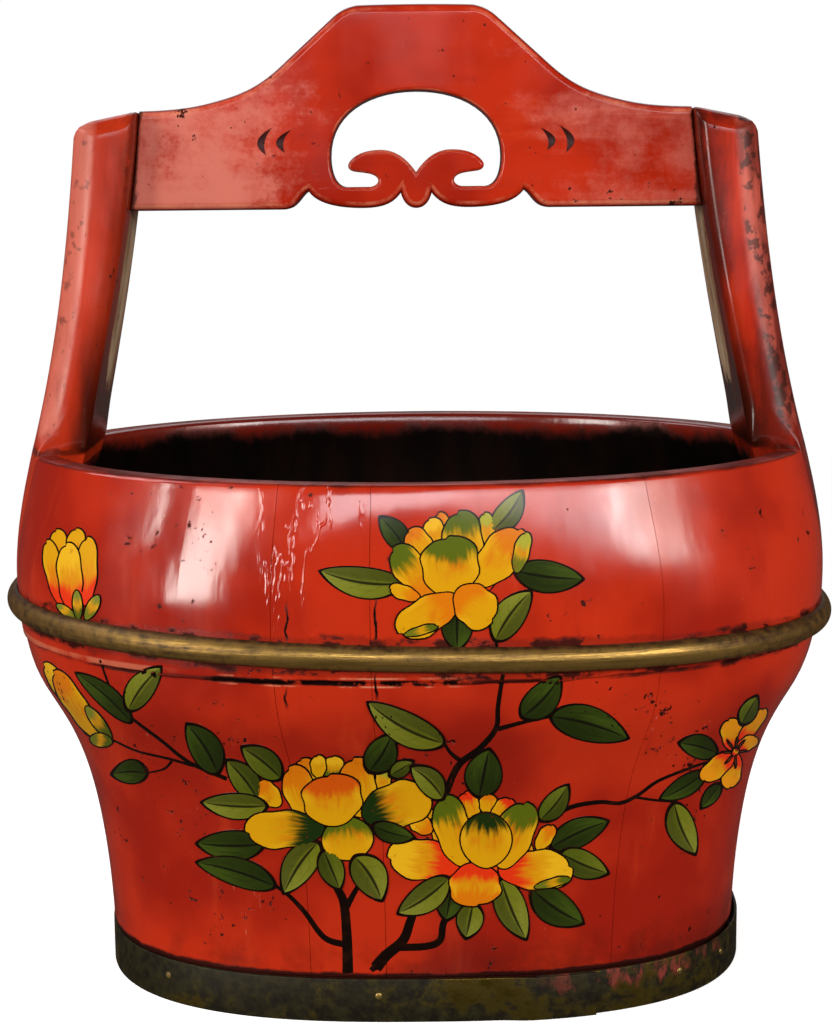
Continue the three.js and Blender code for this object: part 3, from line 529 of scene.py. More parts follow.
def inside_lacquer():
    """Thin dark lacquer inside the bucket, with the wood's reddish brown coming through."""
    coat = Finish("inside_lacquer")
    streaks = coat.noise(26.0, 4.0, stretch=(2.5, 2.5, 0.3))
    patches = coat.noise(15.0)
    colour = coat.blend(coat.ramp(streaks, 0.35, 0.75), linear(14, 6, 2), linear(36, 15, 5))
    worn = coat.noise(12.0, 6.0, 0.7, stretch=(1, 1, 0.6))
    upper = coat.ramp(coat.at("Z") + (worn - 0.5) * 45, INNER_RED_FROM, RIM_DIRT[0])
    colour = coat.blend(upper * 0.85, colour, INNER_RED)
    over = coat.most(coat.at("Z") - INNER_RED_FROM, 0.0)
    height = streaks * 0.0004 + coat.noise(90.0) * 0.0002 - over * over * 0.00003
    rough = 0.5 - upper * 0.36 + patches * 0.1
    return coat.done(colour, rough, coat.bump(height, 1.0, 0.9), metallic=0.9 - upper * 0.9, gloss=0.7)


lacquer_staves = red_lacquer("red_lacquer_staves", STANDING, stave_wear_and_highlights, wall_dirt_and_shade, front_creases)
lacquer_posts = red_lacquer("red_lacquer_posts", STANDING, post_wear_sheen_and_shade, wall_dirt_and_shade, polish=0.45)
lacquer_bar = red_lacquer("red_lacquer_bar", LYING, bar_wear_sheen_and_highlights, polish=0.45)
lacquer_inside = inside_lacquer()
print("lacquers", [m.name for m in bpy.data.materials if "lacquer" in m.name])

# %% [markdown]
# The wall is one oval skin. Seen from the side its half length and half depth follow two
# smooth curves, from the foot out to the belly and in again to the rim, and seen from above
# the oval is squarer at the foot than at the rim. Because every stave is cut from that one
# rule, neighbours meet edge to edge. The same rule is used here as in the CAD, only with
# finer steps, so the meshes lie where the solids lie.

# %% The rule of the wall
RIM_HEIGHT = 237.0
BELLY_HEIGHT = 181.6
BELLY_PULLS = (149.6, 73.3, 20.0)
WAIST_SWELL = 2.0
RIM_LEAN = 4.5
RIM_PULL = 18.0
HALF_LENGTHS = (145.3, 186.0, 178.2)
HALF_DEPTHS = (110.4, 141.4, 135.4)
SQUARENESS = (2.62, 2.24, 1.97)
SQUARE_FOOT = 60.0
WALL = 11.0
POST_TOP = 389.0


def mix(a, b, share):
    return a + (b - a) * share


def smoothstep(value, low, high):
    share = min(1.0, max(0.0, (value - low) / (high - low)))
    return share * share * (3 - 2 * share)


def between(value, start, end):
    """1 between two soft steps, each given as where it is 0 and where it is 1."""
    return smoothstep(value, *start) * smoothstep(value, *end)


def on_curve(points, t):
    """A point of a cubic Bezier curve."""
    a, b, c, d = (np.array(p, float) for p in points)
    s = 1 - t
    return a * s ** 3 + b * 3 * s * s * t + c * 3 * s * t * t + d * t ** 3


def turning_place(low, high, halvings, is_below):
    """Where is_below stops being true, found by halving the stretch again and again."""
    for _ in range(halvings):
        middle = (low + high) / 2
        if is_below(middle):
            low = middle
        else:
            high = middle
    return high


def size_at(curves, height):
    """The half size at a height."""
    curve = next((c for c in curves if height <= c[3][1]), curves[-1])
    return on_curve(curve, turning_place(0.0, 1.0, 34, lambda t: on_curve(curve, t)[1] < height))[0]


def wall_curves(sizes):
    foot, belly, rim = sizes
    waist_pull, pull_below, pull_above = BELLY_PULLS
    below = [(foot, 0), (foot + WAIST_SWELL, waist_pull), (belly, BELLY_HEIGHT - pull_below),
             (belly, BELLY_HEIGHT)]
    above = [(belly, BELLY_HEIGHT), (belly, BELLY_HEIGHT + pull_above),
             (rim + RIM_LEAN, RIM_HEIGHT - RIM_PULL), (rim, RIM_HEIGHT)]
    return [below, above]


POST_OUTER = [(178.2, 237), (165.6, 282), (158.7, 328), (153.4, POST_TOP)]
POST_INNER = [(150.5, 237), (137.9, 297), (128.0, 344), (124.4, POST_TOP)]
LENGTH_CURVES = wall_curves(HALF_LENGTHS) + [POST_OUTER]
DEPTH_CURVES = wall_curves(HALF_DEPTHS)
known_ovals = {}


def oval_at(height):
    """Half length, half depth and squareness of the oval at a height."""
    if height not in known_ovals:
        length = size_at(LENGTH_CURVES, height)
        shrink = length / HALF_LENGTHS[2] if height > RIM_HEIGHT else 1.0
        depth = size_at(DEPTH_CURVES, min(height, RIM_HEIGHT)) * shrink
        lower = mix(SQUARENESS[0], SQUARENESS[1], smoothstep(height, SQUARE_FOOT, BELLY_HEIGHT))
        power = mix(lower, SQUARENESS[2], smoothstep(height, BELLY_HEIGHT, RIM_HEIGHT))
        known_ovals[height] = (length, depth, power)
    return known_ovals[height]


def wall_point(angle, height, inset):
    """A point of the wall at a plan angle, moved in along the wall's normal."""
    length, depth, power = oval_at(height)
    c = math.cos(angle)
    s = math.sin(angle)
    reach = (abs(c / length) ** power + abs(s / depth) ** power) ** (-1 / power)
    x = reach * c
    y = reach * s
    nx = math.copysign(abs(x / length) ** (power - 1) / length, x)
    ny = math.copysign(abs(y / depth) ** (power - 1) / depth, y)
    size = math.hypot(nx, ny)
    return np.array((x - nx / size * inset, y - ny / size * inset, height))


print("oval at the belly", [round(float(v), 2) for v in oval_at(BELLY_HEIGHT)])

# %% [markdown]
# Staves. On the bench a stave is one board: hollowed inside, rounded outside, bent by its cut
# from foot to rim, with a groove for the bottom boards. Each one is lofted here as a stack of
# closed outlines, and the stack has its thin steps where something happens: the rebate for the
# foot band, the groove, the small ledge under the hoop and the rounding of the rim. Most seams
# are hidden under the lacquer, so neighbours share an edge exactly, and only the seams that
# have opened with age get a small gap.

# %% Where the seams are
STAVES_PER_SIDE = 11
SEAM_HALF_DEPTH = 37.0
OPEN_SEAM = 0.1
BAND_REBATE = 1.0
BAND_TOP = 19.7
OVER_BAND = BAND_TOP + 0.8
LEDGE_HEIGHT = 157.0
LEDGE_DEPTH = 0.9
LEDGE_FADE = 25.0
LEDGE_SWELL = ((120, 156), (175, 158))
GROOVE_LOW = 15.7
GROOVE_HIGH = 28.3
GROOVE_DEPTH = 4.3
SHARP_STEP = 0.05
RIM_ROUND = 2.0
WAIST_LEVELS = (34, 150, 30)
LEDGE_APPROACH = (153.0, 155.4, 156.2)
LEDGE_STEPS = ((-0.3, 0.45), (0.0, 0.1), (0.4, 0.0))
BELLY_LEVELS = (160, RIM_HEIGHT - RIM_ROUND, 26)
SEAM_SAMPLES = 401
FOOT_CHAMFER = 1.2
OPEN_SEAMS = {3, 7, 16, 17, 20}

rim_length, rim_depth, rim_power = oval_at(RIM_HEIGHT)
seam_x = rim_length * (1 - (SEAM_HALF_DEPTH / rim_depth) ** rim_power) ** (1 / rim_power)
POST_SEAM = math.atan2(SEAM_HALF_DEPTH, seam_x)


def seams_of_one_side():
    """Plan angles that share the belly's edge equally between the two end staves."""
    angles = np.linspace(POST_SEAM, math.pi - POST_SEAM, SEAM_SAMPLES)
    points = np.array([wall_point(a, BELLY_HEIGHT, 0) for a in angles])
    steps = np.linalg.norm(np.diff(points, axis=0), axis=1)
    along = np.concatenate([[0], np.cumsum(steps)])
    targets = np.linspace(0, along[-1], STAVES_PER_SIDE + 1)
    return [float(a) for a in np.interp(targets, along, angles)]


back_seams = seams_of_one_side()
front_seams = [a + math.pi for a in back_seams]
stave_spans = list(zip(back_seams, back_seams[1:])) + list(zip(front_seams, front_seams[1:]))


def ledge_wander(angle):
    """The ledge was cut by hand, so it wanders a little up and down."""
    return 0.5 * math.sin(7 * angle + 1) + 0.35 * math.sin(23 * angle) + 0.25 * math.sin(51 * angle + 2)


def outer_point(angle, height, inset):
    """A point of the outer face, which goes up and down with the ledge near it."""
    point = wall_point(angle, height, inset)
    point[2] += ledge_wander(angle) * between(height, *LEDGE_SWELL)
    return point


def outer_inset(height):
    """How far the outer face lies inside the wall's rule: the rebate, and the hollow of the ledge."""
    if height <= BAND_TOP:
        return BAND_REBATE
    if height >= LEDGE_HEIGHT:
        return 0.0
    return LEDGE_DEPTH * smoothstep(height, LEDGE_HEIGHT - LEDGE_FADE, LEDGE_HEIGHT - 0.8)


def stave_levels():
    """Heights with the insets of the outer and inner faces, from the foot to the rim."""
    grooved = WALL - GROOVE_DEPTH
    levels = [(0.0, BAND_REBATE + FOOT_CHAMFER, WALL - FOOT_CHAMFER), (FOOT_CHAMFER, BAND_REBATE, WALL)]
    levels += [(GROOVE_LOW - SHARP_STEP, BAND_REBATE, WALL), (GROOVE_LOW, BAND_REBATE, grooved)]
    levels += [(BAND_TOP, BAND_REBATE, grooved), (OVER_BAND, outer_inset(OVER_BAND), grooved)]
    levels += [(GROOVE_HIGH, outer_inset(GROOVE_HIGH), grooved), (GROOVE_HIGH + SHARP_STEP, 0.0, WALL)]
    levels += [(float(z), outer_inset(z), WALL) for z in (*np.linspace(*WAIST_LEVELS), *LEDGE_APPROACH)]
    levels += [(LEDGE_HEIGHT + above, inset, WALL) for above, inset in LEDGE_STEPS]
    levels += [(float(z), 0.0, WALL) for z in np.linspace(*BELLY_LEVELS)]
    for turn in np.linspace(0, math.pi / 2, 6)[1:]:
        rounded = RIM_ROUND * (1 - math.cos(turn))
        levels.append((RIM_HEIGHT - RIM_ROUND * (1 - math.sin(turn)), rounded, WALL - rounded))
    return levels


LEVELS = stave_levels()
print("staves", len(stave_spans), "levels", len(LEVELS), "seam angle", round(math.degrees(POST_SEAM), 2))

# %% Make a mesh from points and faces
def smoothed(mesh, crease):
    """Smooth shading, but for edges that turn by more than the crease, in degrees."""
    mesh.shade_smooth()
    mesh.set_sharp_from_angle(angle=math.radians(crease))
    return mesh


def cleaned(mesh, weld=0.0, collapse=0.0):
    """Merges corners closer than weld and drops slivers, in metres, and turns faces outwards."""
    work = bmesh.new()
    work.from_mesh(mesh)
    if weld:
        bmesh.ops.remove_doubles(work, verts=work.verts, dist=weld)
    if collapse:
        bmesh.ops.dissolve_degenerate(work, edges=work.edges, dist=collapse)
    bmesh.ops.recalc_face_normals(work, faces=work.faces)
    work.to_mesh(mesh)
    work.free()
    return mesh


def ring_faces(rings, around):
    """The faces between closed outlines that lie one on the other, each with as many points."""
    faces = []
    for low in range(0, (rings - 1) * around, around):
        high = low + around
        for j in range(around):
            following = (j + 1) % around
            faces.append((low + j, low + following, high + following, high + j))
    return faces


def mesh_of(name, points, faces, finishes, finish_of_face, crease):
    """A smooth-shaded mesh in metres from points in millimetres."""
    mesh = bpy.data.meshes.new(name)
    mesh.from_pydata([tuple(p) for p in np.asarray(points) * MM], [], faces)
    for finish in finishes:
        mesh.materials.append(finish)
    mesh.polygons.foreach_set("material_index", finish_of_face)
    mesh.validate()
    return smoothed(mesh, crease)


def show(name, mesh, nodes):
    """Puts a finished piece in the scene, in place of its CAD nodes."""
    piece = new_object(name, mesh)
    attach(piece, BODY)
    if nodes:
        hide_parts(*nodes)


print("mesh helpers ready")

# %% Staves
COLUMNS = 9
STAVE_CREASE = 34


def slide(outer, inner, amount):
    """The way from a seam's outer corner back along the face, as long as the amount."""
    across = (outer - inner) / np.linalg.norm(outer - inner)
    return np.array((-across[1], across[0], 0.0)) * amount


def stave_ring(angles, level, opened):
    """One closed outline of a stave: outer face there, inner face back."""
    height, outer_in, inner_in = level
    outer = [outer_point(angle, height, outer_in) for angle in angles]
    inner = [wall_point(angle, height, inner_in) for angle in angles]
    for end, sign in ((0, 1), (-1, -1)):
        if opened[end]:
            outer[end] = outer[end] + slide(outer[end], inner[end], sign * OPEN_SEAM)
    return outer + inner[::-1]


def stave_mesh(name, span, opened):
    angles = np.linspace(span[0], span[1], COLUMNS + 1)
    rings = [stave_ring(angles, level, opened) for level in LEVELS]
    around = 2 * (COLUMNS + 1)
    points = np.array([p for ring in rings for p in ring])
    faces = ring_faces(len(rings), around)
    finish_of_face = [int(COLUMNS < j < around - 1) for j in range(around)] * (len(rings) - 1)
    top = (len(rings) - 1) * around
    for j in range(COLUMNS):
        back = around - 1 - j
        faces.append((back, back - 1, j + 1, j))
        faces.append((top + j, top + j + 1, top + back - 1, top + back))
        finish_of_face += [0, 0]
    return mesh_of(name, points, faces, [lacquer_staves, lacquer_inside], finish_of_face, STAVE_CREASE)


for number, span in enumerate(stave_spans, start=1):
    opened = {0: number in OPEN_SEAMS, -1: number + 1 in OPEN_SEAMS}
    name = f"stave_{number:02d}"
    show("lacquered_" + name, stave_mesh("lacquered_" + name, span, opened), [name])

# %% [markdown]
# Posts. An end stave is a wall stave below the rim and a stout square post above it, so its
# outline changes all the way up: it thickens inwards, its corners grow round, and it leans in
# towards the bar. The crown is cut on a slope, rounded outside and bevelled front and back.
# A boolean cut would leave a hard edge, so the crown is given as a height over the plan
# instead: each column of the post stops where it meets that height, and the last few steps
# turn over a small radius, as years of hands have worn it.

# %% The post's outline at a height
OUTER_CORNER = 10.0
INNER_CORNER = 6.0
SEAM_RADIUS = 0.5
CORNER_RISE = 22.0
THICK_FADE = 60.0
TOP_HALF_DEPTH = 25.5
RIM_INNER = 150.5
WALL_INNER_AT_RIM = wall_point(0, RIM_HEIGHT, WALL)[0]


def post_inner(height):
    return float(size_at([POST_INNER], height))


def post_corners(height):
    """Outer and inner corner of the post's front half: x, y, inner x, inner y."""
    outer = wall_point(POST_SEAM, height, outer_inset(height))
    if height > RIM_HEIGHT:
        share = min(1.0, (height - RIM_HEIGHT) / (POST_TOP - RIM_HEIGHT))
        half = mix(SEAM_HALF_DEPTH, TOP_HALF_DEPTH, math.sin(share * math.pi / 2))
        length, depth, power = oval_at(height)
        limited = min(half, outer[1])
        x = length * (1 - (limited / depth) ** power) ** (1 / power)
        inner = post_inner(height)
        return x, limited, inner, min(half, inner * math.tan(POST_SEAM))
    share = smoothstep(height, RIM_HEIGHT - THICK_FADE, RIM_HEIGHT)
    edge = wall_point(POST_SEAM, height, WALL)
    middle = wall_point(0, height, WALL)
    thick = min(RIM_INNER + middle[0] - WALL_INNER_AT_RIM, edge[0])
    inner_x = mix(edge[0], thick, share)
    slope = (outer[1] - edge[1]) / (outer[0] - edge[0])
    return outer[0], outer[1], inner_x, edge[1] - slope * (edge[0] - inner_x)


def post_outline(height, chamfer):
    """The outline as pairs: s from -1 to 1 across the post, w from 0 inside to 1 outside."""
    x, y, inner_x, _ = post_corners(height)
    rise = smoothstep(height, RIM_HEIGHT, RIM_HEIGHT + CORNER_RISE)
    outer, inner = (mix(SEAM_RADIUS, full, rise) + chamfer for full in (OUTER_CORNER, INNER_CORNER))
    outer_side, inner_side = (1 - radius / y for radius in (outer, inner))
    outer_deep, inner_deep = (radius / (x - inner_x) for radius in (outer, inner))
    pairs = []

    def corner(side, radius, base, start):
        for turn in np.linspace(start, start + math.pi / 2, 7):
            s = side * (1 - radius / y) + radius / y * math.cos(turn)
            pairs.append((s, base + radius / (x - inner_x) * math.sin(turn)))

    def run(start, end, count):
        for share in np.linspace(0, 1, count + 2)[1:-1]:
            pairs.append((mix(start[0], end[0], share), mix(start[1], end[1], share)))

    corner(1, outer, 1 - outer_deep, 0)
    run((outer_side, 1), (-outer_side, 1), 15)
    corner(-1, outer, 1 - outer_deep, math.pi / 2)
    run((-1, 1 - outer_deep), (-1, inner_deep), 5)
    corner(-1, inner, inner_deep, math.pi)
    run((-inner_side, 0), (inner_side, 0), 11)
    corner(1, inner, inner_deep, 3 * math.pi / 2)
    run((1, inner_deep), (1, 1 - outer_deep), 5)
    return pairs


def post_point(pair, height):
    """Turns a pair of the outline into a place on the right-hand post."""
    s, w = pair
    x, y, inner_x, inner_y = post_corners(height)
    length, depth, power = oval_at(height)
    outer_y = s * y
    outer_x = length * (1 - abs(outer_y / depth) ** power) ** (1 / power) - outer_inset(height)
    share = smoothstep(height, RIM_HEIGHT - THICK_FADE, RIM_HEIGHT)
    bulge = wall_point(0, height, WALL)[0] - wall_point(POST_SEAM, height, WALL)[0]
    inner = inner_x + (1 - share) * bulge * (1 - s * s)
    return np.array((mix(inner, outer_x, w), mix(s * inner_y, outer_y, w), height))


print("post at the rim", [round(float(v), 1) for v in post_corners(RIM_HEIGHT)])

# %% The crown as a height over the plan
CROWN_SLOPE = 0.2
CROWN_RADIUS = 12.5
CROWN_OUTER = 154.2
CROWN_INNER = POST_INNER[-1][0]
CROWN_PEAK = 5.0
FACET_DROP = 7.0
FACET_RUN = 8.0
FACET_LIFT = 1.0
FACET_SOFT = 1.2
CHEEK_SLOPE = 0.4
WORN_EDGE = 1.3

round_start = CROWN_OUTER - CROWN_RADIUS
start_height = POST_TOP - CROWN_SLOPE * (round_start - CROWN_INNER)
CROWN_ROUND = [
    (start_height, round_start),
    (start_height - 0.1 * CROWN_RADIUS, round_start + 0.6 * CROWN_RADIUS),
    (start_height - 0.45 * CROWN_RADIUS, CROWN_OUTER + 0.2),
    (start_height - CROWN_RADIUS - 2, CROWN_OUTER + 1),
]


def crown_height(x, y):
    """How high the post reaches over a point of its plan."""
    if x <= round_start:
        from_side = start_height + CROWN_SLOPE * (round_start - max(x, CROWN_INNER - CROWN_PEAK))
    else:
        from_side = float(size_at([CROWN_ROUND], min(x, CROWN_OUTER + 1)))
    over = max(0.0, abs(y) - (TOP_HALF_DEPTH - FACET_RUN))
    drop = min(over, FACET_RUN) * FACET_DROP / FACET_RUN + max(0.0, over - FACET_RUN) * CHEEK_SLOPE
    from_end = POST_TOP - drop - CROWN_SLOPE * (x - CROWN_INNER) + FACET_LIFT
    gap = max(FACET_SOFT - abs(from_side - from_end), 0.0) / FACET_SOFT
    return min(from_side, from_end) - gap * gap * FACET_SOFT / 4


print("crown over the middle", round(crown_height(135, 0), 2))

# %% Posts
BODY_HEIGHTS = [level[0] for level in LEVELS if level[0] < RIM_HEIGHT - RIM_ROUND]
NECK_HEIGHTS = [float(z) for z in np.linspace(RIM_HEIGHT, 362, 40)]
CROWN_STEPS = 8
CAP_RINGS = 9
POST_CREASE = 40
HIDDEN_BELOW_RIM = 6
HIDDEN_FROM_SEAM = 4
HIDDEN_FROM_MIDDLE = 3


def column_point(j, height):
    """A column of the post at a height."""
    return post_point(post_outline(height, 0)[j], height)


def under_crown(j, height):
    x, y, _ = column_point(j, height)
    return crown_height(x, y) > height


def post_columns():
    """The outlines of the right-hand post, one on the other, from the foot to the crown's edge."""
    levels = BODY_HEIGHTS + NECK_HEIGHTS
    outlines = [post_outline(z, FOOT_CHAMFER if z == 0 else 0) for z in levels]
    rings = [[post_point(pair, z) for pair in pairs] for pairs, z in zip(outlines, levels)]
    last = NECK_HEIGHTS[-1]
    columns = range(len(rings[0]))
    tops = [turning_place(last, POST_TOP + 4, 24, lambda z: under_crown(j, z)) for j in columns]
    for share in (step / CROWN_STEPS for step in range(1, CROWN_STEPS + 1)):
        rings.append([column_point(j, mix(last, tops[j] - WORN_EDGE, share)) for j in columns])
    return rings


def on_crown(flat):
    return np.array((flat[0], flat[1], crown_height(flat[0], flat[1])))


def is_hidden(middle):
    """Whether a face of a post looks into the bucket, below the rim."""
    x, y, z = middle
    half_way = wall_point(0, min(z, RIM_HEIGHT), WALL / 2)[0]
    inside = x < half_way - HIDDEN_FROM_MIDDLE and abs(y) < SEAM_HALF_DEPTH - HIDDEN_FROM_SEAM
    return inside and z < RIM_HEIGHT - HIDDEN_BELOW_RIM


def post_mesh():
    """Points, faces and finishes of the right-hand post."""
    rings = post_columns()
    count = len(rings[0])
    edge = rings[-1]
    centre = np.mean(edge, axis=0)
    for turn in np.linspace(0, math.pi / 2, 5)[1:]:
        ring = []
        for point in edge:
            inward = centre[:2] - point[:2]
            inward = inward / np.linalg.norm(inward)
            top = on_crown(point[:2] + inward * WORN_EDGE * (1 - math.cos(turn)))
            ring.append(np.array((top[0], top[1], mix(point[2], top[2], math.sin(turn)))))
        rings.append(ring)
    rim = rings[-1]
    for share in (step / CAP_RINGS for step in range(1, CAP_RINGS)):
        rings.append([on_crown(mix(point[:2], centre[:2], share)) for point in rim])
    points = [p for ring in rings for p in ring] + [on_crown(centre)]
    faces = ring_faces(len(rings), count)
    finish_of_face = [int(is_hidden(np.mean([points[v] for v in face], axis=0))) for face in faces]
    tip = len(points) - 1
    last = (len(rings) - 1) * count
    for j in range(count):
        faces.append((last + j, last + (j + 1) % count, tip))
        finish_of_face.append(0)
    faces.append(tuple(range(count))[::-1])
    finish_of_face.append(0)
    # The outline runs clockwise seen from above, so each face is turned over to look outwards.
    return np.array(points), [face[::-1] for face in faces], finish_of_face


BARE_UP = ((246, 286), (364, 326))
BARE_ACROSS = ((-16, 2), (27, 16))


def bareness(point):
    """1 on the inner back of a post's neck, where hands have worn the lacquer off."""
    height = min(max(point[2], RIM_HEIGHT), POST_TOP)
    inner = smoothstep(abs(point[0]) - post_inner(height), 7, 3)
    return between(height, *BARE_UP) * inner * between(point[1], *BARE_ACROSS)


def handled_share(point):
    """1 on a post's two outer corners above the rim, where it is lifted and dusted and where a painted
    sheen goes.
    """
    height = min(max(point[2], RIM_HEIGHT), POST_TOP)
    x, y, inner_x, _ = post_corners(height)
    neck = smoothstep(point[2], 238, 252)
    outside = smoothstep((abs(point[0]) - inner_x) / (x - inner_x), 0.5, 0.8)
    return neck * outside * smoothstep(abs(point[1]) / y, 0.35, 0.8)


post_points, post_faces, post_finish = post_mesh()
for name, turn in (("post_right", 1), ("post_left", -1)):
    placed = post_points * np.array((turn, turn, 1))
    finishes = [lacquer_posts, lacquer_inside]
    mesh = mesh_of("lacquered_" + name, placed, post_faces, finishes, post_finish, POST_CREASE)
    for title, rule in (("bare", bareness), ("handled", handled_share)):
        share = mesh.attributes.new(title, "FLOAT", "POINT")
        share.data.foreach_set("value", [rule(point) for point in placed])
    show("lacquered_" + name, mesh, [name])
print("post", len(post_faces), "faces, top", round(float(post_points[:, 2].max()), 2))

# %% [markdown]
# The carrying bar is sawn from one board and carved: a stepped and swept top, a notched
# underside, an arched finger opening and two leaf curls on its sill. A flat Bezier curve is
# the natural way to draw it, and Blender fills it, gives it thickness and rounds its edges in
# one go. The carver rounded the outline more than the opening, so two boards are drawn: one
# has the outline, the other the bar's ends and its opening, and the bar is what they share.

# %% The bar's outline and its opening
bar_low, bar_high = (np.array(corner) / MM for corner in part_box("crossbar"))
BAR_THICK = bar_high[1] - bar_low[1]
BAR_EDGE = 1.8
BAR_ROUNDING = 3.4
END_MARGIN = 12
PLATE_MARGIN = 80
PLATE_PROUD = 0.04
JOINT_GAP = 0.3
UNDERSIDE = POST_TOP - 44
CROWN = POST_TOP + 46.3
SHOULDER = (57.0, POST_TOP + 22.5)
NOTCH = (48.7, UNDERSIDE + 8.1)
JAMB = 38.7
ARCH_CROWN = POST_TOP + 8.5
ARCH_SPRING = POST_TOP - 20.6
SILL = POST_TOP - 34.2


def curve_to(*values):
    return ("curve", values)


def line_to(x, z):
    return ("line", (x, z))


def outline_half():
    """The carved outline, from the middle of its crown down the right side to the middle below."""
    x, z = SHOULDER
    nx, nz = NOTCH
    steps = [
        curve_to(11, CROWN, 22, CROWN - 0.2, 26, CROWN - 0.4),
        curve_to(30, CROWN - 1.2, 33, CROWN - 2.4, 36, CROWN - 5),
        line_to(x, z),
        curve_to(x + 8, z - 7.5, x + 15, z - 13, x + 28, z - 16.8),
        curve_to(x + 40, z - 20.3, CROWN_INNER - 20, POST_TOP + 1, CROWN_INNER - 6, POST_TOP + 0.5),
        line_to(CROWN_INNER + END_MARGIN, POST_TOP),
        line_to(CROWN_INNER + END_MARGIN, UNDERSIDE),
        line_to(nx + 11, UNDERSIDE),
        curve_to(nx + 5, UNDERSIDE + 0.3, nx + 3.5, nz - 1.5, nx, nz),
        curve_to(nx - 2.5, nz - 4, nx - 9, UNDERSIDE + 0.8, nx - 22, UNDERSIDE + 0.4),
        curve_to(nx - 33, UNDERSIDE, nx - 38, UNDERSIDE + 2, 7, nz - 1.1),
        curve_to(5.6, UNDERSIDE + 1.6, 2.5, UNDERSIDE + 0.2, 0, UNDERSIDE + 0.2),
    ]
    return (0, CROWN), steps


def plate_half():
    """A plate with the bar's ends, so tall that it trims nothing else."""
    top = CROWN + PLATE_MARGIN
    foot = UNDERSIDE - PLATE_MARGIN
    steps = [line_to(post_inner(POST_TOP) - JOINT_GAP, top)]
    for share in (1, 0.8, 0.6, 0.4, 0.2, 0):
        height = mix(UNDERSIDE, POST_TOP, share)
        steps.append(line_to(post_inner(height) - JOINT_GAP, height))
    steps += [line_to(post_inner(UNDERSIDE) - JOINT_GAP, foot), line_to(0, foot)]
    return (0, top), steps


def opening_half():
    """The finger opening, with a leaf curl that rises from its sill."""
    haunch = ARCH_SPRING + 0.66 * (ARCH_CROWN - ARCH_SPRING)
    foot = JAMB - 7.7
    tip = (JAMB - 8.6, SILL + 11)
    tongue = (JAMB - 11.4, SILL + 6.8)
    steps = [
        curve_to(JAMB * 0.55, ARCH_CROWN, JAMB, haunch, JAMB, ARCH_SPRING),
        curve_to(JAMB, ARCH_SPRING - 6.4, JAMB - 1.7, SILL, foot, SILL),
        line_to(22, SILL),
        curve_to(18.2, SILL, 16.4, SILL + 2, 17.4, SILL + 3.8),
        curve_to(18.8, tongue[1] - 0.8, tongue[0] - 4.4, tongue[1] - 0.6, *tongue),
        curve_to(tongue[0] + 3.2, tongue[1] + 0.4, tip[0] + 1.2, tip[1] - 1.7, *tip),
        curve_to(tip[0] - 2.6, SILL + 14.7, 22.5, SILL + 16.5, 16, SILL + 16.5),
        curve_to(9.5, SILL + 16.5, 4.5, SILL + 13, 0, SILL + 6.5),
    ]
    return (0, ARCH_CROWN), steps


def both_halves(start, steps):
    """Points and handles of the closed outline: the given half and its mirror."""
    knots = [{"at": start, "in": start, "out": start}]
    for kind, values in steps:
        end = values[-2:]
        before = knots[-1]
        if kind == "curve":
            before["out"] = values[0:2]
            arriving = values[2:4]
        else:
            before["out"] = before["at"]
            arriving = end
        knots.append({"at": end, "in": arriving, "out": end})
    mirrored = []
    for knot in knots[-2:0:-1]:
        flip = {"at": (-knot["at"][0], knot["at"][1])}
        flip["in"] = (-knot["out"][0], knot["out"][1])
        flip["out"] = (-knot["in"][0], knot["in"][1])
        mirrored.append(flip)
    last = knots[-1]
    last["out"] = (-last["in"][0], last["in"][1])
    first = knots[0]
    first["in"] = (-first["out"][0], first["out"][1])
    return knots + mirrored


def draw_outline(curve, knots):
    spline = curve.splines.new("BEZIER")
    spline.bezier_points.add(len(knots) - 1)
    spline.use_cyclic_u = True
    for point, knot in zip(spline.bezier_points, knots):
        point.handle_left_type = "FREE"
        point.handle_right_type = "FREE"
        point.co = (knot["at"][0] * MM, knot["at"][1] * MM, 0)
        point.handle_left = (knot["in"][0] * MM, knot["in"][1] * MM, 0)
        point.handle_right = (knot["out"][0] * MM, knot["out"][1] * MM, 0)


def board_curve(name, edge, proud, *halves):
    """A board with rounded edges, as thick as the bar and a little proud of it on both faces."""
    curve = bpy.data.curves.new(name, "CURVE")
    curve.dimensions = "2D"
    curve.fill_mode = "BOTH"
    curve.resolution_u = 14
    curve.offset = -edge * MM
    curve.extrude = (BAR_THICK / 2 + proud - edge) * MM
    curve.bevel_depth = edge * MM
    curve.bevel_resolution = 3
    for half in halves:
        draw_outline(curve, both_halves(*half))
    return curve


outline_curve = board_curve("carved_outline", BAR_ROUNDING, 0, outline_half())
plate_curve = board_curve("end_plate", BAR_EDGE, PLATE_PROUD, plate_half(), opening_half())
print("bar", round(float(BAR_THICK), 1), "mm thick")

# %% Bar mesh with its gouged crescents
GOUGE_WIDE = 5.6
GOUGE_BOWS = (0.38, 0.98)
GOUGE_DEEP = 2.0
GOUGE_SLANT = 3.0
GOUGE_SHORTER = 2.0
GOUGE_TIP_SHARE = 0.15
GOUGE_STEPS = 12
BAR_CREASE = 38
WELD = 1e-7


def plain_mesh(carrier):
    """A plain mesh of an object with its modifiers worked in."""
    depsgraph = bpy.context.evaluated_depsgraph_get()
    evaluated = carrier.evaluated_get(depsgraph)
    return bpy.data.meshes.new_from_object(evaluated, preserve_all_data_layers=True, depsgraph=depsgraph)


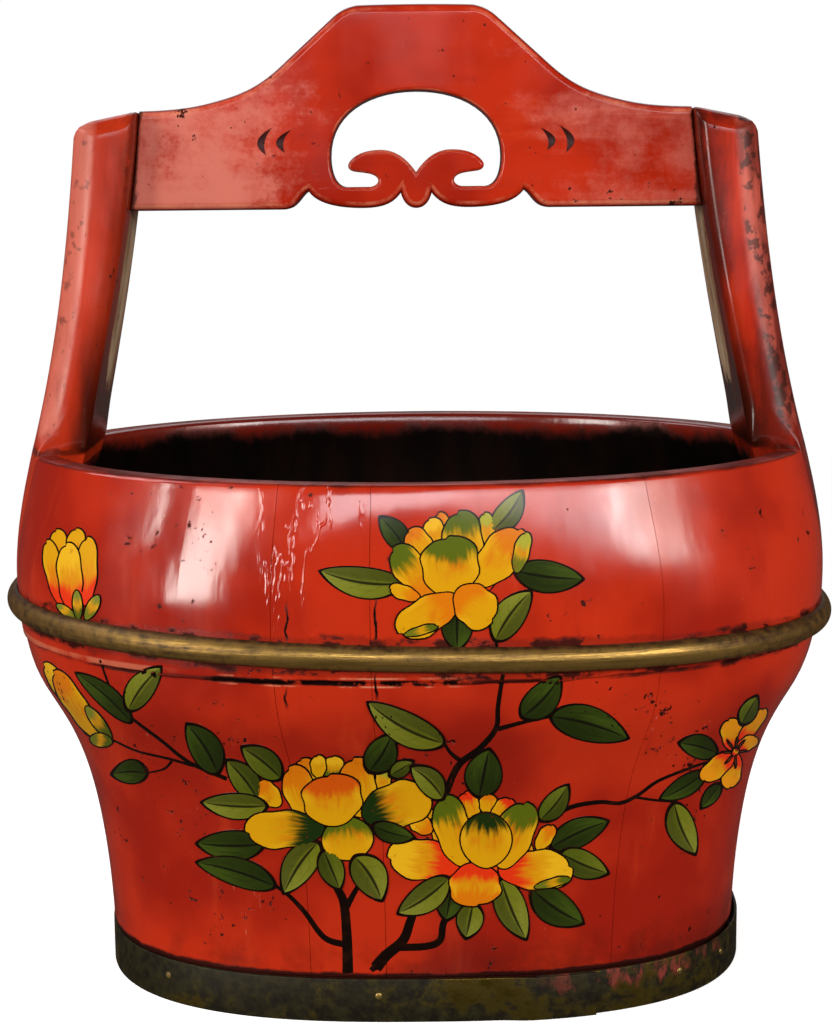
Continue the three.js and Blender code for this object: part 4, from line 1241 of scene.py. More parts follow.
def gouge_points(side, front, reach, tall):
    """The corners of one crescent, the layer in the wood first and the one in the air after it."""
    for depth in (-GOUGE_DEEP, GOUGE_DEEP):
        for t in (k / GOUGE_STEPS for k in range(GOUGE_STEPS + 1)):
            bow = 4 * t * (1 - t)
            taper = depth if depth > 0 else depth * mix(GOUGE_TIP_SHARE, 1, bow)
            start = reach - GOUGE_WIDE / 2 + GOUGE_SLANT * (0.5 - t)
            for wide in GOUGE_BOWS:
                x = side * (start + GOUGE_WIDE * wide * bow)
                yield x, front * (BAR_THICK / 2 + taper), GOUGE_HEIGHT + tall * (t - 0.5)


def gouge_mesh():
    """A crescent for each cut, four on each face of the bar."""
    points = []
    faces = []
    layer = 2 * (GOUGE_STEPS + 1)
    for side, front in ((-1, -1), (-1, 1), (1, -1), (1, 1)):
        for reach, tall in zip(GOUGE_REACHES, (GOUGE_TALL - GOUGE_SHORTER, GOUGE_TALL)):
            base = len(points)
            points += gouge_points(side, front, reach, tall)
            for a in range(base, base + 2 * GOUGE_STEPS, 2):
                b = a + layer
                faces += [(a, a + 1, a + 3, a + 2), (b, b + 2, b + 3, b + 1)]
                faces += [(a, a + 2, b + 2, b), (a + 1, b + 1, b + 3, a + 3)]
            for a in (base, base + 2 * GOUGE_STEPS):
                faces.append((a, a + 1, a + layer + 1, a + layer))
    mesh = bpy.data.meshes.new("gouges")
    mesh.from_pydata([tuple(np.array(p) * MM) for p in points], [], faces)
    return cleaned(mesh, WELD)


def board_mesh(curve):
    """The closed mesh of a board, stood upright."""
    blank = new_object("blank", curve)
    mesh = plain_mesh(blank)
    mesh.transform(Matrix.Rotation(math.pi / 2, 4, "X"))
    bpy.data.objects.remove(blank)
    return cleaned(mesh, WELD)


bar = new_object("bar_in_work", board_mesh(outline_curve))
plate = new_object("end_plate", board_mesh(plate_curve))
cutter = new_object("gouges", gouge_mesh())
for operation, other in (("INTERSECT", plate), ("DIFFERENCE", cutter)):
    cut = bar.modifiers.new(operation.lower(), "BOOLEAN")
    cut.operation = operation
    cut.object = other
    cut.solver = "EXACT"
carved = plain_mesh(bar)
bar.modifiers.clear()
bar.data = smoothed(carved, BAR_CREASE)
weights = bar.modifiers.new("flat_faces_stay_flat", "WEIGHTED_NORMAL")
weights.keep_sharp = True
finished_bar = plain_mesh(bar)
for helper in (bar, plate, cutter):
    bpy.data.objects.remove(helper)
finished_bar.materials.clear()
finished_bar.materials.append(lacquer_bar)
finished_bar.name = "lacquered_crossbar"
show("lacquered_crossbar", finished_bar, ["crossbar"])
print("bar", len(finished_bar.polygons), "faces")

# %% [markdown]
# Aged metal. The hoop is a half-round bar of bronze under tarnish, with a painted highlight
# along its crest in front and painted shade, brown, at its edges and towards its ends. The foot
# band is a flat strip that has gone dark green and olive, with gold left on its edges. Both are
# metals under a broken skin of tarnish, so one noise decides colour, metallic share and roughness together.

# %% Metal finishes
def tarnished(name, bright, middle, dark, stretch, low, high, rubbed=None, smeared=None):
    """Metal under tarnish. rubbed scales where it is bright, and on the hoop paints a highlight and shade;
    smeared says where lacquer is on it.
    """
    metal = Finish(name)
    skin = metal.noise(42.0, 6.0, 0.7, stretch=stretch)
    specks = metal.noise(230.0, 3.0, 0.6)
    worn = metal.ramp(skin + (specks - 0.5) * 0.25, low, high)
    if rubbed is not None:
        # On the hoop this paints a highlight along the crest in front and shade at its edges and ends.
        worn = worn * rubbed(metal)
    colour = metal.blend(metal.ramp(specks, 0.3, 0.7), dark, middle)
    colour = metal.blend(worn, colour, bright)
    if smeared is not None:
        colour = metal.blend(smeared(metal), colour, SMEAR_RED)
    rough = 0.56 - worn * 0.3 + (specks - 0.5) * 0.2
    surface = skin * 0.0004 + specks * 0.00012
    return metal.done(colour, rough, metal.bump(surface, 1.0, 0.8), metallic=0.45 + worn * 0.45)


def crest_highlight_and_edge_shade(metal):
    """Painted highlight, bright in front and along the hoop's crest, and painted shade, brown towards its
    two ends and its edges.
    """
    crest = metal.near(above_hoop(metal), 0.0, 3.2, 5.2)
    return (metal.ramp(metal.reach("X"), 180, 80) * 0.85 + 0.15) * crest


def lacquer_smears(metal):
    """Red lacquer that a brush left on the upper edge, in front and to the right."""
    streak = metal.noise(95.0, 5.0, 0.65, stretch=(1, 1, 0.45))
    where = metal.between(metal.at("X"), 45, 75, 125, 142) * metal.in_front()
    upper = metal.ramp(metal.at("Z") + (streak - 0.5) * 30, 12.5, 16.5)
    return metal.ramp(streak, 0.5, 0.62) * where * upper * 0.8


SMEAR_RED = linear(150, 62, 50)
hoop_bronze = tarnished(
    "hoop_bronze", linear(174, 138, 70), linear(94, 64, 26), linear(46, 27, 10),
    (0.25, 0.25, 5), 0.32, 0.64, rubbed=crest_highlight_and_edge_shade)
band_bronze = tarnished(
    "band_bronze", linear(106, 88, 30), linear(46, 41, 11), linear(25, 18, 6),
    (0.6, 0.6, 1), 0.5, 0.72, smeared=lacquer_smears)
nail_brass = tarnished(
    "nail_brass", linear(176, 150, 84), linear(116, 92, 46), linear(60, 44, 20), (1, 1, 1), 0.35, 0.6)
print("metals", hoop_bronze.name, band_bronze.name, nail_brass.name)

# %% [markdown]
# Geometry Nodes suit whatever follows a path. The hoop is a half-round section swept round the
# belly: the path is a ring of points from the wall's rule, and the tree turns it into a curve,
# gives it the section and a finish. A second small class keeps these trees short, with the
# same add method as the finishes have.

# %% Geometry trees
class Tree:
    """A Geometry Nodes tree under construction: a geometry, a material and other inputs go in."""

    def __init__(self, name, inputs=()):
        self.tree = bpy.data.node_groups.new(name, "GeometryNodeTree")
        face = self.tree.interface
        face.new_socket("Geometry", in_out="INPUT", socket_type="NodeSocketGeometry")
        self.sockets = {}
        for title, kind in (*inputs, ("Material", "Material")):
            socket = face.new_socket(title, in_out="INPUT", socket_type="NodeSocket" + kind)
            self.sockets[title] = socket.identifier
        face.new_socket("Geometry", in_out="OUTPUT", socket_type="NodeSocketGeometry")
        self.start = self.tree.nodes.new("NodeGroupInput")
        self.end = self.tree.nodes.new("NodeGroupOutput")

    def given(self, title):
        return self.start.outputs[title]

    def add(self, kind, settings, inputs, output=0):
        node = self.tree.nodes.new(kind)
        for name, value in settings.items():
            setattr(node, name, value)
        for name, value in inputs.items():
            if isinstance(value, bpy.types.NodeSocket):
                self.tree.links.new(value, node.inputs[name])
            else:
                node.inputs[name].default_value = value
        return node.outputs[output]

    def sum(self, operation, first, second=0.0, third=0.0):
        return self.add("ShaderNodeMath", {"operation": operation}, {0: first, 1: second, 2: third})

    def vector_sum(self, operation, first, second=(0, 0, 0)):
        return self.add("ShaderNodeVectorMath", {"operation": operation}, {0: first, 1: second})

    def scaled(self, vector, share):
        return self.add("ShaderNodeVectorMath", {"operation": "SCALE"}, {0: vector, "Scale": share})

    def vector(self, x, y, z=0.0):
        return self.add("ShaderNodeCombineXYZ", {}, {"X": x, "Y": y, "Z": z})

    def part(self, vector, axis):
        return self.add("ShaderNodeSeparateXYZ", {}, {0: vector}, axis)

    def position(self):
        return self.add("GeometryNodeInputPosition", {}, {})

    def named(self, title, kind="FLOAT"):
        """What the geometry carries under this name."""
        node = self.add("GeometryNodeInputNamedAttribute", {"data_type": kind}, {"Name": title}).node
        return next(output for output in node.outputs if output.enabled)

    def upright_path(self):
        """The given points and edges as a curve that keeps a section upright."""
        path = self.add("GeometryNodeMeshToCurve", {}, {0: self.given("Geometry")})
        return self.add("GeometryNodeSetCurveNormal", {"mode": "Z_UP"}, {0: path})

    def finish_with(self, geometry):
        """Realizes what was instanced, sets the material and ends the tree."""
        real = self.add("GeometryNodeRealizeInstances", {}, {0: geometry})
        dressed = self.add("GeometryNodeSetMaterial", {}, {0: real, "Material": self.given("Material")})
        self.tree.links.new(dressed, self.end.inputs[0])

    def run(self, carrier, **values):
        """Works the tree on an object, takes the plain mesh and removes the object."""
        modifier = carrier.modifiers.new(self.tree.name, "NODES")
        modifier.node_group = self.tree
        for title, value in values.items():
            modifier[self.sockets[title.replace("_", " ").capitalize()]] = value
        mesh = plain_mesh(carrier)
        carrier.modifiers.remove(modifier)
        bpy.data.objects.remove(carrier)
        return mesh


def carrier_of(name, points, edges=(), numbers=None, vectors=None, colours=None):
    """An object that carries points, edges and named values into a tree."""
    mesh = bpy.data.meshes.new(name)
    mesh.from_pydata([tuple(p) for p in points], list(edges), [])
    for title, kind, field, table in (
        *((t, "FLOAT", "value", v) for t, v in (numbers or {}).items()),
        *((t, "FLOAT_VECTOR", "vector", v) for t, v in (vectors or {}).items()),
        *((t, "FLOAT_COLOR", "color", v) for t, v in (colours or {}).items()),
    ):
        layer = mesh.attributes.new(title, kind, "POINT")
        layer.data.foreach_set(field, np.array(table, float).ravel())
    return new_object(name, mesh)


print("geometry trees ready")

# %% Belly hoop
HOOP_TALL = 10.8
HOOP_THICK = 4.45
HOOP_CLEARANCE = 0.3
HOOP_POINTS = 360


def hoop_seat(angle):
    """Where the hoop's back rests: the proudest of three heights of the wall, and a clearance."""
    middle = HOOP_HEIGHT - HOOP_TILT * wall_point(angle, HOOP_HEIGHT, 0)[0]
    seat = wall_point(angle, middle, 0)
    heights = (middle - HOOP_TALL / 2, middle, middle + HOOP_TALL / 2)
    proud = max(np.hypot(*wall_point(angle, z, 0)[:2]) for z in heights) - np.hypot(*seat[:2])
    return wall_point(angle, middle, -HOOP_CLEARANCE - proud)


def swept_metal(name, tree, points, edges, crease, **values):
    """Sweeps a tree's section along a path and shows its size."""
    mesh = tree.run(carrier_of(name + "_path", points, edges), **values)
    corners = np.array([v.co for v in mesh.vertices]) / MM
    print(name, corners.min(axis=0).round(1), corners.max(axis=0).round(1))
    return smoothed(cleaned(mesh), crease)


def hoop_tree():
    tree = Tree("half_round_hoop", [("Thickness", "Float"), ("Height", "Float")])
    circle = tree.add("GeometryNodeCurvePrimitiveCircle", {}, {"Resolution": 36, "Radius": 1.0})
    spot = tree.position()
    bulge = tree.sum("MAXIMUM", tree.part(spot, "X"), 0.0)
    out = tree.sum("MULTIPLY", bulge, tree.given("Thickness"))
    up = tree.sum("MULTIPLY", tree.part(spot, "Y"), tree.sum("MULTIPLY", tree.given("Height"), 0.5))
    section = tree.add("GeometryNodeSetPosition", {}, {0: circle, "Position": tree.vector(out, up)})
    ends = {"Curve": tree.upright_path(), "Profile Curve": section}
    tree.finish_with(tree.add("GeometryNodeCurveToMesh", {}, ends))
    return tree


hoop_points = [hoop_seat(2 * math.pi * k / HOOP_POINTS) * MM for k in range(HOOP_POINTS)]
hoop_edges = [(k, (k + 1) % HOOP_POINTS) for k in range(HOOP_POINTS)]
hoop_mesh = swept_metal("hoop", hoop_tree(), hoop_points, hoop_edges, 50,
                        thickness=HOOP_THICK * MM, height=HOOP_TALL * MM, material=hoop_bronze)
show("bronze_hoop", hoop_mesh, ["belly_hoop"])

# %% [markdown]
# The foot band is a flat strip. It goes once round the foot, and its end climbs over its start
# and lies on it for the lap. On the right it has sprung a few millimetres away from the wood.
# It is swept like the hoop, from an open path that says where the strip's middle runs, with a
# rounded rectangle for a section.

# %% Foot band
BAND_TALL = 19.4
BAND_THICK = 1.5
BAND_SPRING = 2.6
SPRING_POWER = 6
LAP_ANGLE = math.radians(-66)
LAP_LENGTH = 24.0
LAP_GAP = 0.25
CLIMB_TURN = 0.14
LEVEL_TURN = 0.01
BAND_POINTS = 420


def band_offset(angle):
    """How far the band's inner face lies inside the wall's rule, negative where it springs away."""
    return BAND_REBATE - JOINT_GAP - BAND_SPRING * max(0.0, math.cos(angle)) ** SPRING_POWER


def band_path():
    start = wall_point(LAP_ANGLE, 0, 0)
    lap_turn = LAP_LENGTH / math.hypot(start[0], start[1])
    full = 2 * math.pi
    points = []
    for turn in np.linspace(0, full + lap_turn, BAND_POINTS):
        over = (BAND_THICK + LAP_GAP) * smoothstep(turn, full - CLIMB_TURN, full - LEVEL_TURN)
        inset = band_offset(LAP_ANGLE + turn) - over - BAND_THICK / 2
        point = wall_point(LAP_ANGLE + turn, BAND_TALL / 2, inset)
        points.append(point * MM)
    return points


def band_tree():
    tree = Tree("flat_band", [("Thickness", "Float"), ("Height", "Float")])
    size = {"Width": tree.given("Thickness"), "Height": tree.given("Height")}
    strip = tree.add("GeometryNodeCurvePrimitiveQuadrilateral", {}, size)
    corner = {"Curve": strip, "Count": 3, "Radius": tree.sum("MULTIPLY", tree.given("Thickness"), 0.3)}
    rounded = tree.add("GeometryNodeFilletCurve", {"mode": "POLY"}, corner)
    ends = {"Curve": tree.upright_path(), "Profile Curve": rounded, "Fill Caps": True}
    tree.finish_with(tree.add("GeometryNodeCurveToMesh", {}, ends))
    return tree


band_edges = [(k, k + 1) for k in range(BAND_POINTS - 1)]
band_mesh = swept_metal("band", band_tree(), band_path(), band_edges, 40,
                        thickness=BAND_THICK * MM, height=BAND_TALL * MM, material=band_bronze)
show("bronze_foot_band", band_mesh, ["foot_band"])

# %% [markdown]
# Eight small nails hold the band. Where one part is repeated, it is made once and placed on
# points: the tree makes a flattened dome and stands it on each point, turned to the wall's
# normal, which the points carry as a named value.

# %% Band nails
NAIL_ANGLES = (-25, -37, -100, -143, 25, 60, 100, 143)
NAIL_HEIGHT = 12.0
NAIL_RADIUS = 1.6
NAIL_FLATNESS = 0.45


def nail_tree():
    tree = Tree("band_nails", [("Radius", "Float")])
    size = {"Segments": 20, "Rings": 12, "Radius": tree.given("Radius")}
    dome = tree.add("GeometryNodeMeshUVSphere", {}, size)
    flat = tree.add("GeometryNodeTransform", {}, {0: dome, "Scale": (1.0, 1.0, NAIL_FLATNESS)})
    facing = {"Vector": tree.named("outward", "FLOAT_VECTOR")}
    turned = tree.add("FunctionNodeAlignRotationToVector", {"axis": "Z"}, facing)
    heads = {"Points": tree.given("Geometry"), "Instance": flat, "Rotation": turned}
    tree.finish_with(tree.add("GeometryNodeInstanceOnPoints", {}, heads))
    return tree


nail_points = []
nail_normals = []
for degrees in NAIL_ANGLES:
    angle = math.radians(degrees)
    outside = band_offset(angle) - BAND_THICK
    seat = wall_point(angle, NAIL_HEIGHT, outside)
    further = wall_point(angle, NAIL_HEIGHT, outside - 1)
    nail_points.append(seat * MM)
    nail_normals.append(further - seat)
carrier = carrier_of("nail_points", nail_points, vectors={"outward": nail_normals})
nail_mesh = nail_tree().run(carrier, radius=NAIL_RADIUS * MM, material=nail_brass)
nail_mesh.shade_smooth()
show("brass_band_nails", nail_mesh, [f"foot_nail_{k}" for k in range(1, 9)])
print("nails", len(nail_mesh.polygons), "faces")

# %% [markdown]
# The bottom boards and their bamboo pegs are simple solids whose CAD shape is right, so they
# stay, and only get a finish. Old bare fir is brown with darker grain lines along the board,
# and the pegs are straw-coloured with fine fibres.

# %% Bare wood finishes
def bare_wood(name, light, dark, stretch, scale):
    wood = Finish(name)
    bands = {"wave_type": "BANDS", "bands_direction": "Y"}
    wave = {"Vector": wood.places(stretch), "Scale": scale, "Distortion": 3.0, "Detail": 3.0}
    grain = wood.add("ShaderNodeTexWave", bands, wave, "Fac")
    stain = wood.noise(24.0)
    colour = wood.blend(grain * 0.7 + wood.ramp(stain, 0.4, 0.7) * 0.3, light, dark)
    height = grain * 0.0003 + wood.noise(90.0, stretch=stretch) * 0.0002
    return wood.done(colour, 0.6 + stain * 0.2, wood.bump(height, 1.0, 0.7))


fir = bare_wood("bare_fir", linear(112, 78, 50), linear(66, 42, 26), (0.12, 1, 1), 60.0)
bamboo = bare_wood("bamboo", linear(190, 160, 104), linear(150, 116, 66), (1, 0.1, 1), 220.0)
for kind, count, finish in (("board", 4, fir), ("peg", 6, bamboo)):
    for number in range(1, count + 1):
        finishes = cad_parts[f"bottom_{kind}_{number}"].data.materials
        finishes.clear()
        finishes.append(finish)
print("boards and pegs dressed")

# %% [markdown]
# The flowers are painted by hand in a folk manner that many such buckets share: a trunk and
# its boughs in near-black strokes, pointed leaves in two greens with a dark rib, and yellow
# blossoms whose petals turn orange at the root or green at the tip. A painter works petal by
# petal, so the lesson does too. Every leaf or petal is one of a few brush shapes with its own
# place, turn, length, width and two colours. The places are read off the photograph,
# as pixels of the 833 by 1024 picture, because the painting is seen only there.

# %% Brush shapes
PIXEL = 0.0001
PAPER_DISTANCE = FOCAL_PIXELS * PIXEL
SHAPE_ROWS = 18
SHAPE_COLUMNS = 10


def brush_shape(name, base_power, tip_power, ruffle=0.0):
    """A closed leaf-like slab one unit long and wide. High powers make an end more pointed."""
    peak = base_power / (base_power + tip_power)
    widest = peak ** base_power * (1 - peak) ** tip_power
    points = []
    places = []
    sides = []
    for side in (1.0, 0.0):
        for row in range(SHAPE_ROWS + 1):
            along = 0.5 - 0.5 * math.cos(math.pi * row / SHAPE_ROWS)
            half = 0.5 * along ** base_power * (1 - along) ** tip_power / widest
            for column in range(SHAPE_COLUMNS + 1):
                across = 2 * column / SHAPE_COLUMNS - 1
                wavy = 1 + ruffle * math.sin(14 * along + 2 * across)
                lobed = along + ruffle * along ** 3 * math.cos(5.5 * across + 0.8)
                points.append((across * half * wavy, lobed, 0.0))
                places.append((across, along, 0.0))
                sides.append(side)
    row_length = SHAPE_COLUMNS + 1
    layer = row_length * (SHAPE_ROWS + 1)
    faces = []
    for row in range(SHAPE_ROWS):
        for column in range(SHAPE_COLUMNS):
            a = row * row_length + column
            b = a + row_length
            faces.append((a, a + 1, b + 1, b))
            faces.append((a + layer, b + layer, b + 1 + layer, a + 1 + layer))
        left = row * row_length
        right = left + SHAPE_COLUMNS
        faces.append((left, left + row_length, left + row_length + layer, left + layer))
        faces.append((right, right + layer, right + row_length + layer, right + row_length))
    mesh = bpy.data.meshes.new(name)
    mesh.from_pydata(points, [], faces)
    mesh.attributes.new("at", "FLOAT_VECTOR", "POINT").data.foreach_set("vector", np.array(places).ravel())
    mesh.attributes.new("side", "FLOAT", "POINT").data.foreach_set("value", sides)
    return new_object(name, mesh)


leaf_shape = brush_shape("leaf_shape", 0.62, 0.8)
petal_shape = brush_shape("petal_shape", 0.5, 0.36, 0.055)
pointed_shape = brush_shape("pointed_shape", 0.6, 0.55)
print("brush shapes", [o.name for o in (leaf_shape, petal_shape, pointed_shape)])

# %% What the painter put where
OLIVE = ((104, 108, 24), (120, 124, 42))
MID_GREEN = ((76, 86, 16), (98, 104, 28))
DARK_GREEN = ((36, 48, 10), (58, 74, 18))
SUN = (208, 150, 10)
GOLD = (222, 170, 26)
AMBER = (208, 114, 8)
FLAME = (216, 50, 16)
ORANGE = (222, 142, 16)
EMBER = (120, 24, 10)
COPPER = (202, 82, 10)
MOSS = (84, 96, 14)
NIGHT_GREEN = (24, 44, 10)
LIME = (160, 158, 44)


def stroke_of(base, tip, width, root_colour, tip_colour, kind, bend=0.0):
    return {"base": base, "tip": tip, "width": width, "root": root_colour, "end": tip_colour,
            "kind": kind, "bend": bend}


def leaf(tip, base, width, greens, bend=0.0):
    return stroke_of(base, tip, width, greens[0], greens[1], "leaf", bend)


def petal(base, tip, width, root_colour=AMBER, tip_colour=SUN, kind="petal", bend=0.0):
    return stroke_of(base, tip, width, root_colour, tip_colour, kind, bend)


upper_leaves = [
    leaf((380, 517), (405, 549), 24, DARK_GREEN, 2),
    leaf((320, 571), (403, 584), 31, OLIVE, -5),
    leaf((522, 491), (492, 531), 25, OLIVE, 3),
    leaf((583, 579), (515, 571), 32, DARK_GREEN, 2),
    leaf((531, 591), (495, 640), 31, OLIVE, -3),
    leaf((457, 650), (457, 608), 31, DARK_GREEN),
]
upper_blossom = [
    petal((452, 608), (455, 545), 84, FLAME, AMBER),
    petal((450, 540), (439, 514), 15, SUN, AMBER),
    petal((489, 546), (485, 514), 16, SUN, LIME),
    petal((441, 548), (430, 520), 22, SUN, GOLD),
    petal((467, 578), (460, 514), 40, SUN, MOSS),
    petal((430, 560), (410, 531), 26, SUN, AMBER),
    petal((476, 585), (520, 532), 40, SUN, AMBER),
    petal((516, 573), (526, 534), 16, OLIVE[0], LIME),
    petal((436, 598), (395, 550), 34, AMBER, MOSS),
    petal((420, 598), (391, 588), 15, AMBER, SUN),
    petal((450, 598), (450, 539), 58, SUN, MOSS),
    petal((458, 597), (401, 631), 37, AMBER, SUN),
    petal((458, 588), (490, 621), 42, AMBER, SUN),
    petal((404, 635), (436, 626), 9, OLIVE[0], MOSS),
]
left_bud = [
    petal((63, 566), (57, 531), 18, AMBER, SUN),
    petal((75, 566), (77, 530), 19, AMBER, SUN),
    petal((62, 606), (48, 543), 18, FLAME, SUN),
    petal((86, 606), (88, 540), 21, FLAME, SUN),
    petal((73, 612), (68, 546), 25, FLAME, GOLD),
    petal((77, 619), (57, 604), 9, OLIVE[0], OLIVE[1], "pointed"),
    petal((86, 620), (99, 595), 12, OLIVE[0], OLIVE[1], "pointed"),
    petal((79, 620), (77, 590), 10, MID_GREEN[0], OLIVE[1], "pointed"),
]
low_bud = [
    petal((90, 726), (46, 666), 17, AMBER, GOLD),
    petal((97, 738), (74, 706), 15, AMBER, SUN),
    petal((98, 738), (56, 674), 21, SUN, AMBER),
    petal((112, 740), (86, 706), 12, MID_GREEN[0], OLIVE[1], "pointed"),
    petal((113, 742), (90, 738), 14, MID_GREEN[0], OLIVE[0], "pointed"),
]
left_leaves = [
    leaf((76, 673), (131, 722), 21, DARK_GREEN, 3),
    leaf((161, 667), (128, 710), 27, OLIVE, -3),
    leaf((112, 774), (147, 773), 24, DARK_GREEN, 2),
    leaf((187, 724), (218, 773), 31, DARK_GREEN, 3),
    leaf((227, 760), (258, 799), 26, MID_GREEN, 2),
    leaf((242, 747), (281, 778), 27, MID_GREEN, 2),
    leaf((202, 802), (267, 806), 26, OLIVE, -2),
    leaf((197, 843), (264, 844), 30, DARK_GREEN, -2),
    leaf((197, 862), (275, 886), 28, DARK_GREEN, 3),
    leaf((284, 893), (318, 842), 32, OLIVE, 3),
    leaf((340, 889), (324, 850), 25, MID_GREEN),
    leaf((382, 900), (355, 856), 34, OLIVE, -3),
    leaf((392, 734), (369, 771), 31, DARK_GREEN, 2),
    leaf((413, 761), (390, 775), 16, MID_GREEN),
    leaf((411, 766), (443, 798), 25, OLIVE, 3),
    leaf((368, 702), (444, 743), 32, OLIVE, -5),
    leaf((414, 837), (373, 825), 20, DARK_GREEN, 2),
]
left_blossom = [
    petal((334, 838), (334, 770), 88, FLAME, AMBER),
    petal((311, 787), (302, 760), 23, SUN, AMBER),
    petal((332, 780), (334, 757), 22, MOSS, GOLD),
    petal((319, 778), (318, 756), 16, SUN, GOLD),
    petal((280, 806), (260, 783), 20, SUN, AMBER),
    petal((380, 792), (386, 768), 16, SUN, LIME),
    petal((316, 826), (291, 769), 33, SUN, AMBER),
    petal((361, 817), (355, 760), 37, SUN, AMBER),
    petal((362, 815), (427, 796), 46, NIGHT_GREEN, SUN),
    petal((325, 828), (249, 830), 38, NIGHT_GREEN, SUN),
    petal((345, 816), (350, 860), 52, MOSS, SUN, "pointed"),
    petal((333, 826), (332, 776), 60, SUN, COPPER),
]
right_blossom = [
    petal((482, 892), (484, 806), 100, FLAME, AMBER),
    petal((472, 824), (466, 793), 23, SUN, FLAME),
    petal((487, 814), (489, 795), 18, SUN, AMBER),
    petal((493, 822), (511, 800), 20, SUN, FLAME),
    petal((434, 816), (411, 805), 16, SUN, FLAME),
    petal((432, 832), (411, 817), 19, AMBER, GOLD),
    petal((537, 850), (552, 826), 16, SUN, AMBER),
    petal((462, 864), (391, 856), 41, FLAME, GOLD),
    petal((498, 870), (569, 869), 40, FLAME, GOLD),
    petal((464, 866), (444, 799), 36, SUN, MOSS),
    petal((500, 868), (526, 805), 38, SUN, MOSS),
    petal((475, 862), (475, 904), 52, FLAME, AMBER),
    petal((486, 868), (486, 812), 52, SUN, NIGHT_GREEN, "pointed"),
    petal((534, 887), (569, 878), 9, OLIVE[0], MOSS),
]
right_leaves = [
    leaf((560, 677), (522, 717), 31, DARK_GREEN, 3),
    leaf((628, 738), (551, 716), 35, DARK_GREEN, -3),
    leaf((489, 749), (479, 797), 37, DARK_GREEN),
    leaf((568, 785), (540, 820), 23, MID_GREEN, 2),
    leaf((608, 821), (551, 847), 28, DARK_GREEN, -2),
    leaf((608, 873), (561, 853), 28, MID_GREEN, 2),
    leaf((583, 923), (532, 889), 34, DARK_GREEN, 3),
    leaf((526, 939), (501, 879), 31, OLIVE, 2),
    leaf((466, 938), (473, 903), 27, OLIVE),
    leaf((446, 920), (452, 886), 26, DARK_GREEN),
    leaf((398, 913), (449, 878), 29, OLIVE, -3),
]
small_blossom = [
    petal((735, 752), (730, 720), 23, FLAME, ORANGE),
    petal((738, 744), (764, 710), 14, FLAME, ORANGE),
    petal((736, 750), (756, 738), 14, FLAME, ORANGE),
    petal((736, 752), (728, 787), 19, FLAME, ORANGE),
    petal((734, 752), (703, 779), 20, FLAME, ORANGE),
    petal((735, 751), (744, 740), 1.4, FLAME, EMBER),
    petal((735, 750), (737, 737), 1.4, FLAME, EMBER),
    petal((734, 750), (727, 740), 1.4, FLAME, EMBER),
    petal((734, 752), (722, 752), 1.4, FLAME, EMBER),
    petal((734, 753), (725, 763), 1.4, FLAME, EMBER),
    petal((735, 754), (735, 767), 1.4, FLAME, EMBER),
    petal((736, 752), (746, 750), 1.4, FLAME, EMBER),
    petal((732, 755), (737, 748), 6, FLAME, EMBER),
]
far_leaves = [
    leaf((679, 743), (717, 753), 24, DARK_GREEN, 2),
    leaf((660, 799), (705, 772), 20, DARK_GREEN, -2),
    leaf((701, 808), (720, 784), 14, DARK_GREEN),
    leaf((757, 696), (741, 724), 17, MID_GREEN),
    leaf((695, 854), (674, 803), 28, OLIVE, 3),
]
shape_groups = {
    "upper_leaves": upper_leaves, "upper_blossom": upper_blossom, "left_bud": left_bud,
    "low_bud": low_bud, "left_leaves": left_leaves, "left_blossom": left_blossom,
    "right_leaves": right_leaves, "right_blossom": right_blossom,
    "small_blossom": small_blossom, "far_leaves": far_leaves,
}
print("leaves and petals", sum(len(group) for group in shape_groups.values()))

# %% Boughs and twigs
def bough(start_width, end_width, *course):
    return {"widths": (start_width, end_width), "course": course}


boughs = [
    bough(13, 8, (348, 972), (347, 936), (344, 903), (337, 887), (331, 872)),
    bough(8, 5, (346, 908), (354, 893), (362, 880)),
    bough(8, 3.5, (344, 944), (324, 937), (304, 911), (285, 892), (268, 882)),
    bough(15, 9, (376, 967), (386, 955), (403, 940), (410, 922), (416, 905)),
    bough(6, 14, (371, 970), (377, 965), (383, 959)),
    bough(9, 8, (398, 947), (426, 946), (440, 940), (443, 924), (448, 915)),
    bough(5, 9, (503, 674), (498, 706), (496, 728), (480, 748), (458, 766), (444, 798)),
    bough(6, 3, (498, 729), (524, 722), (554, 716)),
    bough(3, 6, (440, 736), (450, 752), (461, 761)),
    bough(6, 3, (545, 820), (571, 807), (599, 802), (620, 803), (638, 795), (658, 781), (690, 768),
          (707, 762)),
    bough(3.5, 2.5, (634, 797), (654, 800), (676, 802)),
    bough(2.5, 5, (100, 660), (112, 692), (126, 713), (162, 741), (189, 762), (227, 779)),
    bough(2.5, 3.5, (113, 740), (137, 751), (170, 759), (194, 766)),
    bough(3.5, 2, (172, 761), (164, 769), (147, 773)),
    bough(4, 3, (497, 648), (494, 628)),
]
print("boughs", len(boughs))

# %% [markdown]
# Paint. Under the last coat of lacquer the colours have a fine dark outline, a rib and veins
# on each leaf, and streaks that run the way the brush went. Each shape carries its two colours
# and its own lengthwise and crosswise places as named values, so one finish paints them all,
# and wear lets the red ground show through in specks.

# %% Paint finishes
def brush_streaks(paint, place):
    """Streaks that run the way the brush went, and differ from petal to petal."""
    stretched = {0: place, 1: (1.9, 0.6, 1.0)}
    along_brush = paint.add("ShaderNodeVectorMath", {"operation": "MULTIPLY"}, stretched)
    spread = {0: paint.places(), 1: (9.0, 9.0, 9.0), 2: along_brush}
    shifted = paint.add("ShaderNodeVectorMath", {"operation": "MULTIPLY_ADD"}, spread)
    return paint.add("ShaderNodeTexNoise", {}, {"Vector": shifted, "Scale": 3.2, "Detail": 3.0})


